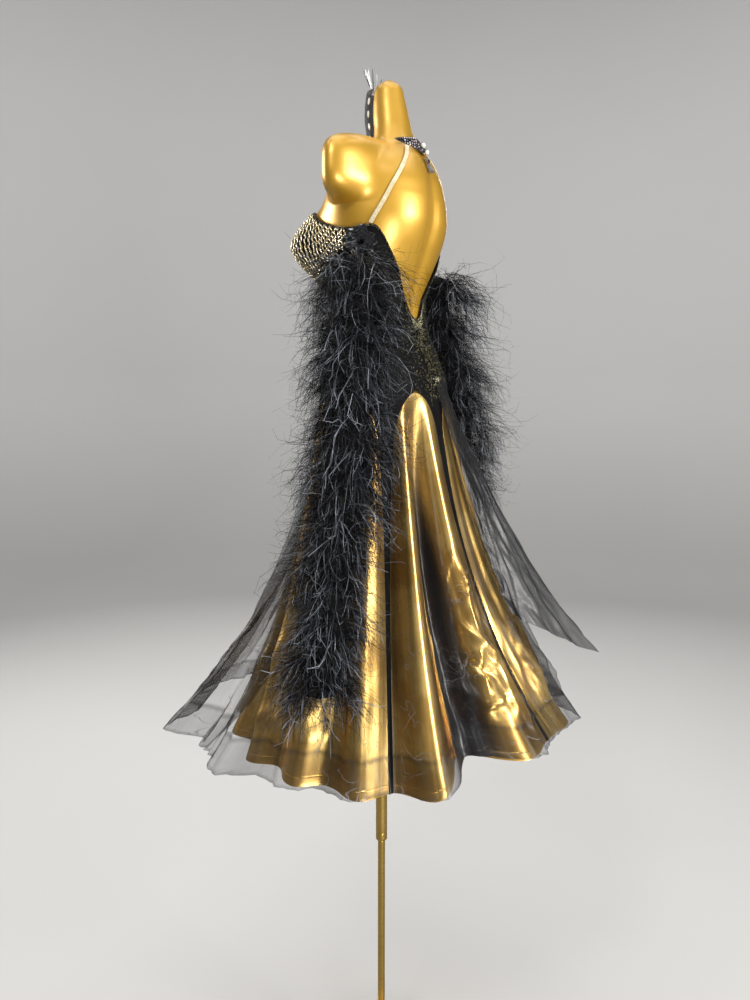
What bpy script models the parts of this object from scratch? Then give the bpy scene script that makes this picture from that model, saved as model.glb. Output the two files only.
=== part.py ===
# A ballroom gown with two feather boas, on a limbless dress form with a pole and a round base.
# Metres, Z up, the floor at Z 0 and the pole on the Z axis. The gown faces -Y, its left side is +X.
# A bearing is an angle round the pole in degrees: 0 at the centre back, 90 at the left side.
# Cloth pieces are walls: a plain inner grid of points, and the same points moved out.

import math

import bmesh
import bpy
from mathutils import Vector

for old in list(bpy.data.objects):
    bpy.data.objects.remove(old)
gown = bpy.data.collections.new("ballroom_gown_on_form")
bpy.context.scene.collection.children.link(gown)

SEAM_GAP = 0.0006         # left between pieces that touch
CLOTH_CLEAR = 0.0045      # cloth above the form
CLOTH = 0.0014            # wall of the sewn cloth
SHEER = 0.0010            # wall of the sheer overlay

# heights of the main lines above the floor
BASE_THICK = 0.010
TUBE_BOTTOM = 0.550
HEM = 0.832               # lowest point of the satin
SHEER_RISE = 0.014        # the overlay ends this far above it
ARCH_TOP = 1.539          # top of the godet arches
HIP = 1.540
YOKE_TOP = 1.640

# stand
BASE_RADIUS = 0.180
BASE_EDGE = 0.003
SOCKET_RADIUS = 0.019
SOCKET_HEIGHT = 0.036
ROD_RADIUS = 0.0080
TUBE_RADIUS = 0.0125

# form: each row is a level section, with the middle's y and the reach each way from it
# height, middle y, half width, back, front
FORM_SECTIONS = (
    (1.352, 0.000, 0.088, 0.058, 0.050),
    (1.362, 0.000, 0.104, 0.070, 0.060),
    (1.400, 0.000, 0.122, 0.084, 0.074),
    (1.460, 0.000, 0.144, 0.100, 0.086),
    (1.520, 0.000, 0.162, 0.117, 0.096),
    (1.560, 0.000, 0.161, 0.118, 0.098),
    (1.600, 0.000, 0.147, 0.104, 0.094),
    (1.640, 0.000, 0.129, 0.087, 0.090),
    (1.680, 0.000, 0.115, 0.076, 0.087),
    (1.720, 0.000, 0.110, 0.073, 0.088),
    (1.760, 0.000, 0.114, 0.084, 0.094),
    (1.800, 0.000, 0.123, 0.101, 0.100),
    (1.840, 0.000, 0.131, 0.117, 0.103),
    (1.880, 0.000, 0.136, 0.126, 0.101),
    (1.915, 0.000, 0.137, 0.124, 0.095),
    (1.950, 0.008, 0.128, 0.108, 0.090),
    (1.980, 0.020, 0.104, 0.083, 0.080),
    (2.002, 0.028, 0.074, 0.062, 0.060),
    (2.020, 0.030, 0.052, 0.045, 0.044),
    (2.046, 0.026, 0.042, 0.038, 0.037),
    (2.082, 0.020, 0.036, 0.035, 0.035),
    (2.116, 0.016, 0.031, 0.030, 0.030),
    (2.136, 0.015, 0.025, 0.025, 0.025),
    (2.146, 0.015, 0.013, 0.013, 0.013),
)
FORM_SIDES = 24
FORM_STEPS = ((1.352, 1.362, 1), (1.362, 1.884, 19), (1.884, 2.022, 13), (2.022, 2.116, 4),
              (2.116, 2.146, 3))          # from, to, rings

# rounded arm stubs
STUB_MIDDLE = 1.956
STUB_HALF_HEIGHT = 0.064
STUB_REACH = 0.196
STUB_DEPTH = 0.058
STUB_SQUARE = 3.2         # how square the stub's end looks
STUB_Y = 0.004
STUB_ROOT = 0.060         # its reach where it starts and ends
STUB_ASIDE = 0.6          # the section's middle stays inside this share of its depth
STUB_BLEND = 10.0

# relief of the form: bearing, height, spread in degrees, spread in height, reach
FORM_RELIEF = (
    (0.0, 1.860, 10.0, 0.110, -0.013),
    (40.0, 1.905, 20.0, 0.050, 0.007),
    (148.0, 1.830, 23.0, 0.066, 0.066),
)

# skirt at the hem, centre back to centre front: bearing, satin reach, overlay stand-off,
# share of the flare that is straight, rise of the hem
SKIRT_REACH = (
    (0.0, 0.385, 0.014, 0.42, 0.040),
    (26.0, 0.370, 0.020, 0.42, 0.042),
    (46.0, 0.362, 0.024, 0.42, 0.006),
    (62.0, 0.352, 0.024, 0.42, 0.000),
    (90.0, 0.335, 0.045, 0.40, 0.006),
    (120.0, 0.310, 0.116, 0.34, 0.008),
    (150.0, 0.300, 0.116, 0.30, 0.012),
    (180.0, 0.305, 0.096, 0.30, 0.014),
)
FLARE_POWER = 2.2

# pipes and valleys of the skirt at the hem: bearing, how far out
PIPES = (
    (0.0, -0.006),
    (15.0, 0.020),
    (30.0, -0.066),
    (43.0, 0.034),
    (54.0, -0.020),
    (65.0, 0.018),
    (75.0, -0.018),
    (85.0, 0.020),
    (96.0, -0.016),
    (107.0, 0.020),
    (118.0, -0.022),
    (131.0, 0.018),
    (141.0, -0.020),
    (151.0, 0.020),
    (161.0, -0.018),
    (171.0, 0.016),
    (180.0, -0.014),
)
PIPE_GROWTH = 2.2
GORES = (0.0, 55.0, 118.0, 180.0, 242.0, 305.0)      # bearings of their middles
GODET_COLUMNS = 14
ARCH_RISE = 0.105
YOKE_ROWS = (YOKE_TOP, 1.606, 1.572, 1.5397)     # the last lies just above the arches
DROP_SHARES = (0.0, 0.09, 0.20, 0.33, 0.47, 0.61, 0.75, 0.885, 1.0)   # rows below the arch
GORE_COLUMNS = 4
# half width of a gore strip: share of the drop, metres
GORE_STRIP = ((0.0, 0.0140), (0.22, 0.0085), (0.5, 0.0058), (0.8, 0.0050), (1.0, 0.0050))
STRIP_RADII = (0.165, 0.350)         # the skirt's radius at the strips' two ends, to turn that

# overlay: uneven waves over its stand-off, each godet: waves, depth as a share
SHEER_WAVES = ((2.0, 0.20), (3.0, 0.22), (3.0, 0.25))
SHEER_FREE = 0.55         # share of the drop below which its side edges come away
SHEER_LOOSE = 0.80
SHEER_NEAR = 0.010        # it stands at least this far off at the hem
BAND_EXTRA = 0.0006       # the doubled hem band

# bodice: bearing, height of the upper edge
BODICE_TOP = (
    (0.0, 1.682),
    (14.0, 1.694),
    (30.0, 1.734),
    (48.0, 1.796),
    (66.0, 1.850),
    (90.0, 1.876),
    (112.0, 1.878),
    (130.0, 1.888),
    (148.0, 1.899),
    (164.0, 1.890),
    (180.0, 1.868),
)
# lower edge of the cups: bearing, height
CUP_BOTTOM = (
    (96.0, 1.815),
    (122.0, 1.768),
    (148.0, 1.748),
    (166.0, 1.762),
    (180.0, 1.800),
)
CUP_SIDE = 96.0
CUP_COLUMNS = 14
CUP_ROWS = 7
CHAIN_RIDGE = 0.0022      # swags of bead chain stand this far out
SIDE_COLUMNS = 12
SIDE_ROWS = 5
FRONT_ROWS = 3

# halter panel: height, half width, clearance from the form
HALTER = (
    (1.880, 0.048, 0.0045),
    (1.925, 0.044, 0.0050),
    (1.960, 0.040, 0.0060),
    (2.000, 0.034, 0.0080),
    (2.010, 0.033, 0.0088),
    (2.018, 0.032, 0.0092),
    (2.035, 0.030, 0.0084),
    (2.070, 0.027, 0.0098),
    (2.105, 0.024, 0.0100),
    (2.134, 0.022, 0.0080),
)
HALTER_COLUMNS = 4        # of the cups' columns on each side

# collar: a stiff band round the back of the neck, with pointed ends
# bearing, height of its middle, band height, how upright it stands off the sloping neck
COLLAR = (
    (0.0, 2.0105, 0.0240, 0.60),
    (15.0, 2.0155, 0.0230, 0.60),
    (30.0, 2.0182, 0.0185, 0.55),
    (45.0, 2.0205, 0.0115, 0.45),
    (56.0, 2.0228, 0.0050, 0.30),
    (64.0, 2.0245, 0.0016, 0.20),
)
COLLAR_END = 64.0
COLLAR_CLEAR = 0.0040
COLLAR_WALL = 0.0026
COLLAR_SWELL = 0.0008
COLLAR_SIDES = 16

# straps: share of the way down, bearing, height, clearance from the form
# their feet stand on the side panels' upper edges
STRAP_PATH = (
    (0.00, 37.0, 2.0098, 0.0036),
    (0.16, 42.0, 1.9740, 0.0028),
    (0.35, 47.0, 1.9410, 0.0020),
    (0.60, 54.0, 1.9060, 0.0020),
    (0.80, 61.0, 1.8780, 0.0022),
    (1.00, 67.6, 1.8537, 0.0024),
)
STRAP_POINTS = 10
STRAP_WIDTH = 0.008
STRAP_THICK = 0.0012

# fan of spikes on the halter
SPIKES = 7
SPIKE_LENGTH = 0.040
SPIKE_SPREAD = 44.0
SPIKE_SHORTER = 0.25      # the outer spikes, as a share of the middle one
SPIKE_FORWARD = 0.18
SPIKE_TIP = 0.35
FAN_FOOT = 0.006

# rosette that holds the boa
ROSETTE_BEARING = 75.0
ROSETTE_HEIGHT = 1.822
ROSETTE_SIZE = (0.0156, 0.038, 0.031)     # half depth, half width, half height
ROSETTE_LOBES = 7
ROSETTE_LOBE_DEPTH = 0.10
ROSETTE_FLAT = 0.35       # its back bulges this share of its front

# boas' middle lines: height, left x, left y, right x, right y
BOA_PATH = (
    (1.7966, 0.1564, 0.032, -0.1562, 0.032),
    (1.740, 0.176, 0.024, -0.176, 0.024),
    (1.680, 0.190, 0.026, -0.190, 0.026),
    (1.600, 0.209, 0.036, -0.209, 0.036),
    (1.500, 0.236, 0.050, -0.237, 0.044),
    (1.400, 0.266, 0.062, -0.270, 0.032),
    (1.300, 0.296, 0.075, -0.303, 0.016),
    (1.200, 0.326, 0.085, -0.336, 0.002),
    (1.100, 0.352, 0.093, -0.362, -0.010),
    (1.020, 0.371, 0.097, -0.380, -0.018),
)
BOA_RINGS = 15
BOA_TWIST = 0.37          # turn of each ring, as a share of a side
BOA_SIDES = 8
BOA_CORE = 0.022
LOCK_REACH = 0.094        # how far a lock stands out where nothing is in its way
LOCK_NEAR = 0.010         # and where it lies against the skirt
LOCK_FALL = 0.060
LOCK_TOP_FALL = 0.030     # the top ring of locks stands out more level
LOCK_TIP = 0.20

# float on the right of the back: corner name, bearing, height, stand-off from the skirt's pipes
FLOAT_CORNERS = {
    "top_inner": (354.0, 1.572, 0.0020),
    "top_outer": (330.0, 1.572, 0.0020),
    "low_inner": (349.0, 1.140, 0.030),
    "low_outer": (332.0, 0.972, 0.104),
}
FLOAT_PIPE = 0.030        # it lies over the pipes, not in their valleys
FLOAT_COLUMNS = 5
FLOAT_ROWS = 7
FLOAT_SWING = 1.7         # how late it swings away from the skirt
FLOAT_RISE = 0.018

# colour, roughness, metallic
FINISHES = {
    "gold_form": ((0.80, 0.55, 0.16), 0.30, 0.85),
    "gold_metal": ((0.78, 0.58, 0.24), 0.28, 1.0),
    "black_cloth": ((0.015, 0.015, 0.017), 0.70, 0.0),
    "black_mesh": ((0.03, 0.03, 0.032), 0.80, 0.0),
    "gold_satin": ((0.66, 0.49, 0.20), 0.32, 0.5),
    "sheer_black": ((0.05, 0.05, 0.055), 0.45, 0.0),
    "bead_chain": ((0.75, 0.68, 0.50), 0.25, 0.9),
    "stone_band": ((0.45, 0.45, 0.48), 0.20, 0.6),
    "pale_elastic": ((0.86, 0.80, 0.62), 0.55, 0.0),
    "white_beads": ((0.88, 0.88, 0.86), 0.25, 0.0),
    "feather": ((0.012, 0.012, 0.016), 0.75, 0.0),
}


# TABLES

def read_smooth(rows, at):
    """Values of the other columns where the first column is at, on one smooth curve."""
    last = len(rows) - 1
    if at <= rows[0][0]:
        return rows[0][1:]
    if at >= rows[last][0]:
        return rows[last][1:]
    i = max(k for k in range(last) if rows[k][0] <= at)
    x0, x1 = rows[i][0], rows[i + 1][0]
    step = x1 - x0
    t = (at - x0) / step
    values = []
    for c in range(1, len(rows[0])):
        y0, y1 = rows[i][c], rows[i + 1][c]
        slope = (y1 - y0) / step
        before = (y0 - rows[i - 1][c]) / (x0 - rows[i - 1][0]) if i > 0 else slope
        after = (rows[i + 2][c] - y1) / (rows[i + 2][0] - x1) if i + 2 <= last else slope
        m0 = 0.5 * (before + slope) if before * slope > 0 else 0.0
        m1 = 0.5 * (slope + after) if slope * after > 0 else 0.0
        limit = 3.0 * abs(slope)
        m0 = max(-limit, min(limit, m0))
        m1 = max(-limit, min(limit, m1))
        t2, t3 = t * t, t * t * t
        values.append((2 * t3 - 3 * t2 + 1) * y0 + (t3 - 2 * t2 + t) * step * m0
                      + (3 * t2 - 2 * t3) * y1 + (t3 - t2) * step * m1)
    return values


def fold_bearing(bearing):
    """The same place on the left half, 0 to 180."""
    return abs((bearing + 180.0) % 360.0 - 180.0)


# FORM

def stub_radius(sine, cosine, middle, height):
    """Where a ray from the section's middle meets the stubs' own flat oval."""
    level = abs(height - STUB_MIDDLE) / STUB_HALF_HEIGHT
    if level >= 1.0:
        return 0.0
    round_off = (1.0 - level ** STUB_SQUARE) ** (1.0 / STUB_SQUARE)
    reach = STUB_ROOT + (STUB_REACH - STUB_ROOT) * round_off
    depth = STUB_DEPTH * round_off + 0.001
    aside = max(-STUB_ASIDE * depth, min(STUB_ASIDE * depth, middle - STUB_Y))
    square = (sine / reach) ** 2 + (cosine / depth) ** 2
    half = aside * cosine / depth ** 2
    return (math.sqrt(half * half - square * ((aside / depth) ** 2 - 1.0)) - half) / square


def form_radius(bearing, height):
    middle, half_width, back, front = read_smooth(FORM_SECTIONS, height)
    sine, cosine = math.sin(math.radians(bearing)), math.cos(math.radians(bearing))
    depth = back if cosine > 0 else front
    radius = 1.0 / math.sqrt((sine / half_width) ** 2 + (cosine / depth) ** 2)
    for centre, level, spread, spread_up, reach in FORM_RELIEF:
        turn = (fold_bearing(bearing) - centre) / spread
        rise = (height - level) / spread_up
        radius += reach * math.exp(-turn * turn - rise * rise)
    stub = stub_radius(sine, cosine, middle, height)
    if stub > 0.0:
        radius = (radius ** STUB_BLEND + stub ** STUB_BLEND) ** (1.0 / STUB_BLEND)
    return radius


def round_point(bearing, radius, height, middle=0.0):
    turn = math.radians(bearing)
    return Vector((radius * math.sin(turn), middle + radius * math.cos(turn), height))


def form_point(bearing, height, clear=0.0):
    middle = read_smooth(FORM_SECTIONS, height)[0]
    return round_point(bearing, form_radius(bearing, height) + clear, height, middle)


def form_levels():
    levels = [FORM_STEPS[0][0]]
    for start, end, rings in FORM_STEPS:
        levels += [start + (end - start) * (k + 1) / rings for k in range(rings)]
    return levels


# SKIRT

def pipe_depth(bearing):
    place = fold_bearing(bearing)
    for (b0, d0), (b1, d1) in zip(PIPES, PIPES[1:]):
        if place <= b1:
            ease = 0.5 - 0.5 * math.cos(math.pi * (place - b0) / (b1 - b0))
            return d0 + (d1 - d0) * ease
    return PIPES[-1][1]


def skirt_radius(bearing, height, pipe=None):
    """Radius of the satin at a level; pipe is given where its own folds are passed over."""
    if height >= HIP:
        return form_radius(bearing, height) + CLOTH_CLEAR
    reach, _, straight, _ = read_smooth(SKIRT_REACH, fold_bearing(bearing))
    drop = (HIP - height) / (HIP - HEM)
    start = form_radius(bearing, HIP) + CLOTH_CLEAR
    flare = straight * drop + (1.0 - straight) * drop ** FLARE_POWER
    depth = pipe_depth(bearing) if pipe is None else pipe
    return start + (reach - start) * flare + depth * (1.0 - max(0.0, 1.0 - drop) ** PIPE_GROWTH)


def skirt_surface(bearing, level):
    """A point of the skirt; its level is its height before the hem's own rise."""
    drop = max(0.0, (HIP - level) / (HIP - HEM))
    rise = read_smooth(SKIRT_REACH, fold_bearing(bearing))[3] * drop ** 3
    return round_point(bearing, skirt_radius(bearing, level), level + rise)


def skirt_point(bearing, level, out=0.0):
    """The same, moved out along the cloth's own normal."""
    point = skirt_surface(bearing, level)
    if out == 0.0:
        return point
    turn, rise = 0.25, 0.002
    across = skirt_surface(bearing + turn, level) - skirt_surface(bearing - turn, level)
    up = skirt_surface(bearing, level + rise) - skirt_surface(bearing, level - rise)
    normal = up.cross(across).normalized()
    if normal.dot(Vector((point.x, point.y, 0.0))) < 0:
        normal = -normal
    if level >= HIP:
        normal = Vector((normal.x, normal.y, 0.0)).normalized()
    return point + normal * out


def arch_share(step):
    """Columns of a godet crowd to its sides, where its arch is steep."""
    return math.sin(math.pi / 2 * step)


def godet_half(height, span):
    """Half the angle that a godet takes at a level, between two gore strips."""
    foot = ARCH_TOP - ARCH_RISE
    drop = min(1.0, max(0.0, (foot - height) / (foot - HEM)))
    strip = read_smooth(GORE_STRIP, drop)[0]
    reach = STRIP_RADII[0] + (STRIP_RADII[1] - STRIP_RADII[0]) * drop
    return span / 2 - math.degrees(strip / reach)


def drop_levels():
    foot = ARCH_TOP - ARCH_RISE
    return [foot + (HEM - foot) * share for share in DROP_SHARES]


# MESHES

def finish_material(name):
    material = bpy.data.materials.get(name)
    if material is None:
        colour, roughness, metallic = FINISHES[name]
        material = bpy.data.materials.new(name)
        material.use_nodes = True
        shader = material.node_tree.nodes["Principled BSDF"]
        shader.inputs["Base Color"].default_value = (*colour, 1.0)
        shader.inputs["Roughness"].default_value = roughness
        shader.inputs["Metallic"].default_value = metallic
    return material


def add_object(name, mesh_data, finish, smooth=True):
    mesh = bpy.data.meshes.new(name)
    bmesh.ops.recalc_face_normals(mesh_data, faces=mesh_data.faces[:])
    if mesh_data.calc_volume(signed=True) < 0.0:
        bmesh.ops.reverse_faces(mesh_data, faces=mesh_data.faces[:])
    mesh_data.to_mesh(mesh)
    mesh_data.free()
    if smooth:
        mesh.shade_smooth()
    mesh.materials.append(finish_material(finish))
    piece = bpy.data.objects.new(name, mesh)
    gown.objects.link(piece)
    return piece


def add_patch(mesh_data, grid, columns, flipped):
    """Triangles over a grid of vertices, all split along the same diagonal."""
    for low, high in zip(grid, grid[1:]):
        for c, d in columns:
            for corners in ((low[c], high[c], high[d]), (low[c], high[d], low[d])):
                mesh_data.faces.new(corners[::-1] if flipped else corners)


def add_wall(name, inner, outer, finish, closed=False):
    """A cloth wall between two grids of points; closed joins the last column to the first.
    Both sides share their diagonals, so they stay as far apart as their points are."""
    mesh_data = bmesh.new()
    count = len(inner[0])
    inside = [[mesh_data.verts.new(p) for p in row] for row in inner]
    outside = [[mesh_data.verts.new(p) for p in row] for row in outer]
    columns = [(c, (c + 1) % count) for c in range(count if closed else count - 1)]
    add_patch(mesh_data, outside, columns, False)
    add_patch(mesh_data, inside, columns, True)
    rims = [(inside[0], outside[0], columns), (outside[-1], inside[-1], columns)]
    if not closed:
        steps = [(r, r + 1) for r in range(len(inner) - 1)]
        for side, ends in ((0, (outside, inside)), (-1, (inside, outside))):
            rims.append(([row[side] for row in ends[0]], [row[side] for row in ends[1]], steps))
    for first, second, spans in rims:
        for c, d in spans:
            mesh_data.faces.new((first[c], second[c], second[d], first[d]))
    return add_object(name, mesh_data, finish)


def loft_rings(rings):
    """A solid through closed rings of points, bottom to top."""
    mesh_data = bmesh.new()
    loops = [[mesh_data.verts.new(p) for p in ring] for ring in rings]
    for low, high in zip(loops, loops[1:]):
        for c in range(len(low)):
            d = (c + 1) % len(low)
            mesh_data.faces.new((low[c], low[d], high[d], high[c]))
    mesh_data.faces.new(loops[0][::-1])
    mesh_data.faces.new(loops[-1])
    return mesh_data


def turn_profile(name, profile, finish, sides):
    """A turned piece: its outer side from top to bottom at +X, closed on the axis."""
    mesh = bpy.data.meshes.new(name)
    edges = [(i, i + 1) for i in range(len(profile) - 1)]
    mesh.from_pydata([(x, 0.0, z) for x, z in profile], edges, [])
    mesh.materials.append(finish_material(finish))
    piece = bpy.data.objects.new(name, mesh)
    gown.objects.link(piece)
    screw = piece.modifiers.new("Turn", "SCREW")
    screw.steps = sides
    screw.render_steps = sides
    screw.use_merge_vertices = True
    screw.merge_threshold = 0.00001
    return piece


def mirror_points(grid):
    return [[Vector((-p.x, p.y, p.z)) for p in row] for row in grid]


def add_pair(stem, inner, outer, finish):
    """The same wall on the left and on the right."""
    add_wall(stem + "_left", inner, outer, finish)
    add_wall(stem + "_right", mirror_points(inner), mirror_points(outer), finish)


# STAND AND FORM

def build_stand():
    top = BASE_THICK
    turn_profile("base", ((0.0, top), (BASE_RADIUS - BASE_EDGE, top),
                          (BASE_RADIUS, top - BASE_EDGE), (BASE_RADIUS, 0.0), (0.0, 0.0)),
                 "gold_metal", 48)
    foot = top + SEAM_GAP
    turn_profile("base_collar", ((0.0, foot + SOCKET_HEIGHT),
                                 (SOCKET_RADIUS - 0.004, foot + SOCKET_HEIGHT),
                                 (SOCKET_RADIUS, foot + SOCKET_HEIGHT - 0.004),
                                 (SOCKET_RADIUS, foot), (0.0, foot)), "gold_metal", 24)
    rod_foot = foot + SOCKET_HEIGHT + SEAM_GAP
    rod_top = TUBE_BOTTOM - SEAM_GAP
    turn_profile("rod", ((0.0, rod_top), (ROD_RADIUS, rod_top), (ROD_RADIUS, rod_foot),
                         (0.0, rod_foot)), "gold_metal", 16)
    tube_top = FORM_SECTIONS[0][0] - SEAM_GAP
    turn_profile("tube", ((0.0, tube_top), (TUBE_RADIUS, tube_top),
                          (TUBE_RADIUS, TUBE_BOTTOM + 0.002), (TUBE_RADIUS - 0.002, TUBE_BOTTOM),
                          (0.0, TUBE_BOTTOM)), "gold_metal", 20)


def build_form():
    turns = [360.0 * k / FORM_SIDES for k in range(FORM_SIDES)]
    rings = [[form_point(turn, height) for turn in turns] for height in form_levels()]
    add_object("form", loft_rings(rings), "gold_form")


# SKIRT PIECES

def gap_turn(gap, radius):
    return math.degrees(gap / radius)


def gore_grid(k, out):
    """Rows of points of one gore: the yoke, beside the arches, then the strip."""
    centre = GORES[k]
    spans = [(GORES[k] - GORES[k - 1]) % 360.0, (GORES[(k + 1) % len(GORES)] - GORES[k]) % 360.0]
    steps = GODET_COLUMNS // 2
    levels = [(height, 0.0) for height in YOKE_ROWS]
    for j in range(1, steps + 1):
        share = arch_share(j / steps)
        levels.append((ARCH_TOP - arch_drop(share), share))
    levels += [(height, 1.0) for height in drop_levels()[1:]]
    rows = []
    for height, share in levels:
        trim = gap_turn(SEAM_GAP / 2, skirt_radius(centre, height))
        before, after = [span / 2 - share * godet_half(height, span) - trim for span in spans]
        rows.append([skirt_point(centre - before + (before + after) * c / GORE_COLUMNS, height, out)
                     for c in range(GORE_COLUMNS + 1)])
    return rows


def arch_drop(share):
    """How far the arch has come down at a share of its half width."""
    return ARCH_RISE * (1.0 - math.sqrt(max(0.0, 1.0 - share * share)))


def godet_places(span):
    """Rows of grid places of a godet: share of the half width, turn from its middle, level."""
    rows = []
    foot = ARCH_TOP - ARCH_RISE
    for share in DROP_SHARES:
        row = []
        for c in range(GODET_COLUMNS + 1):
            across = arch_share(2.0 * c / GODET_COLUMNS - 1.0)
            outside = abs(across) > 0.999
            top = foot if outside else ARCH_TOP - SEAM_GAP - arch_drop(across)
            height = top + (HEM - top) * share
            half = godet_half(height, span) - gap_turn(SEAM_GAP / 2, STRIP_RADII[0])
            row.append((across, across * half, height))
        rows.append(row)
    return rows


def sheer_release(height):
    """0 where the overlay is sewn to the gore, 1 at the hem, where it is free."""
    drop = (HIP - height) / (HIP - HEM)
    return max(0.0, (drop - SHEER_FREE) / (1.0 - SHEER_FREE)) ** 2


def sheer_lift(k, across, bearing, height):
    """How far the overlay stands off the satin: nothing at its seams, most at the hem."""
    drop = max(0.0, (ARCH_TOP - height) / (ARCH_TOP - HEM))
    stand_off = read_smooth(SKIRT_REACH, fold_bearing(bearing))[1]
    waves, depth = SHEER_WAVES[min(k, len(GORES) - 1 - k)]
    wave = 1.0 + depth * math.cos(math.pi * waves * (1.0 + abs(across)))
    side = 1.0 - across ** 4 * (1.0 - SHEER_LOOSE * sheer_release(height))
    top = min(1.0, drop / 0.2)
    return side * top * wave * (SHEER_NEAR * drop + stand_off * drop ** 2.4)


def build_skirt():
    for k in range(len(GORES)):
        add_wall("gore_%d" % (k + 1), gore_grid(k, 0.0), gore_grid(k, CLOTH), "black_cloth")
    for k in range(len(GORES)):
        span = (GORES[(k + 1) % len(GORES)] - GORES[k]) % 360.0
        centre = GORES[k] + span / 2
        places = godet_places(span)
        inner = [[skirt_point(centre + turn, height) for _, turn, height in row] for row in places]
        outer = [[skirt_point(centre + turn, height, CLOTH) for _, turn, height in row]
                 for row in places]
        add_wall("godet_%d" % (k + 1), inner, outer, "gold_satin")
        build_overlay(k, centre, span, places)


def build_overlay(k, centre, span, places):
    """The sheer overlay of one godet, on the godet's own grid places."""
    base = CLOTH + SEAM_GAP
    inner, outer = [], []
    for r, row in enumerate(places):
        thick = SHEER + (BAND_EXTRA if r >= len(places) - 2 else 0.0)
        inside, outside = [], []
        for across, turn, height in row:
            if r == len(places) - 1:
                height += SHEER_RISE
            loose = sheer_release(height) * (span / 2 - gap_turn(SEAM_GAP, 0.3) - abs(turn))
            bearing = centre + turn + across * abs(across) * max(0.0, loose)
            lift = sheer_lift(k, across, bearing, height)
            aside = round_point(bearing, lift, 0.0)
            inside.append(skirt_point(bearing, height, base) + aside)
            outside.append(skirt_point(bearing, height, base + thick) + aside)
        inner.append(inside)
        outer.append(outside)
    add_wall("organza_%d" % (k + 1), inner, outer, "sheer_black")


def build_float():
    middle = (GORES[-1] + 360.0) / 2
    span = 360.0 - GORES[-1]
    corners = [FLOAT_CORNERS[name] for name in ("top_inner", "top_outer", "low_inner", "low_outer")]
    inner, outer = [], []
    for r in range(FLOAT_ROWS + 1):
        v = r / FLOAT_ROWS
        inside, outside = [], []
        for c in range(FLOAT_COLUMNS + 1):
            u = c / FLOAT_COLUMNS
            tops = [(1 - u) * a + u * b for a, b in zip(corners[0], corners[1])]
            lows = [(1 - u) * a + u * b for a, b in zip(corners[2], corners[3])]
            bearing, level = [(1 - v) * a + v * b for a, b in zip(tops[:2], lows)]
            stand = tops[2] + (lows[2] - tops[2]) * v ** FLOAT_SWING
            across = (bearing - middle) / godet_half(level, span)
            stand += sheer_lift(len(GORES) - 1, max(-1.0, min(1.0, across)), bearing, level)
            stand += FLOAT_RISE * math.sin(math.pi * v) * (0.5 + 0.5 * u)
            reach = skirt_radius(bearing, level, FLOAT_PIPE) + stand
            drop = max(0.0, (HIP - level) / (HIP - HEM))
            height = level + read_smooth(SKIRT_REACH, fold_bearing(bearing))[3] * drop ** 3
            inside.append(round_point(bearing, reach, height))
            outside.append(round_point(bearing, reach + SHEER, height))
        inner.append(inside)
        outer.append(outside)
    add_wall("back_float", inner, outer, "sheer_black")


# BODICE PIECES

def bodice_grid(bearings, rows, low_edge, high_edge, out, ridge=0.0):
    """Points between two edges that follow the form; ridges run down it."""
    grid = []
    for r in range(rows + 1):
        row = []
        for c, bearing in enumerate(bearings):
            low, high = low_edge(bearing), high_edge(bearing)
            height = low + (high - low) * r / rows
            raised = ridge if c % 2 == 1 and 0 < r < rows else 0.0
            row.append(form_point(bearing, height, CLOTH_CLEAR + out + raised))
        grid.append(row)
    return grid


def bodice_top(bearing):
    return read_smooth(BODICE_TOP, fold_bearing(bearing))[0]


def cup_bottom(bearing):
    return read_smooth(CUP_BOTTOM, fold_bearing(bearing))[0]


def waist_line(_):
    return YOKE_TOP + SEAM_GAP


def spread(start, end, steps):
    return [start + (end - start) * k / steps for k in range(steps + 1)]


def build_bodice(gap):
    side = (spread(gap, CUP_SIDE - gap, SIDE_COLUMNS), SIDE_ROWS, waist_line, bodice_top)
    add_pair("side", bodice_grid(*side, 0.0), bodice_grid(*side, CLOTH), "black_cloth")

    def under_cups(bearing):
        return cup_bottom(bearing) - SEAM_GAP

    cup_bearings = spread(CUP_SIDE + gap, 180.0 - gap, CUP_COLUMNS)
    other_side = [360.0 - bearing for bearing in reversed(cup_bearings)]
    front = (cup_bearings + other_side, FRONT_ROWS, waist_line, under_cups)
    add_wall("front_panel", bodice_grid(*front, 0.0), bodice_grid(*front, CLOTH), "black_cloth")
    cup = (cup_bearings, CUP_ROWS, cup_bottom, bodice_top)
    add_pair("cup", bodice_grid(*cup, 0.0), bodice_grid(*cup, CLOTH, CHAIN_RIDGE), "bead_chain")
    over_cups = cup_bearings[-HALTER_COLUMNS - 1:]
    build_halter(over_cups + [360.0 - bearing for bearing in reversed(over_cups)])


def build_halter(bearings):
    """The panel starts on the cups' own points and narrows up to the neck."""
    foot_half = bearings[-1] - 180.0
    inner, outer = [], []
    for r, (level, half_width, clear) in enumerate(HALTER):
        half = math.degrees(half_width / (form_radius(180.0, level) + clear))
        narrow = half / foot_half if r else 1.0
        inside, outside = [], []
        for foot in bearings:
            bearing = 180.0 + (foot - 180.0) * narrow
            height = level if r else bodice_top(bearing) + SEAM_GAP
            inside.append(form_point(bearing, height, clear))
            outside.append(form_point(bearing, height, clear + CLOTH))
        inner.append(inside)
        outer.append(outside)
    add_wall("halter_panel", inner, outer, "black_mesh")


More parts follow.
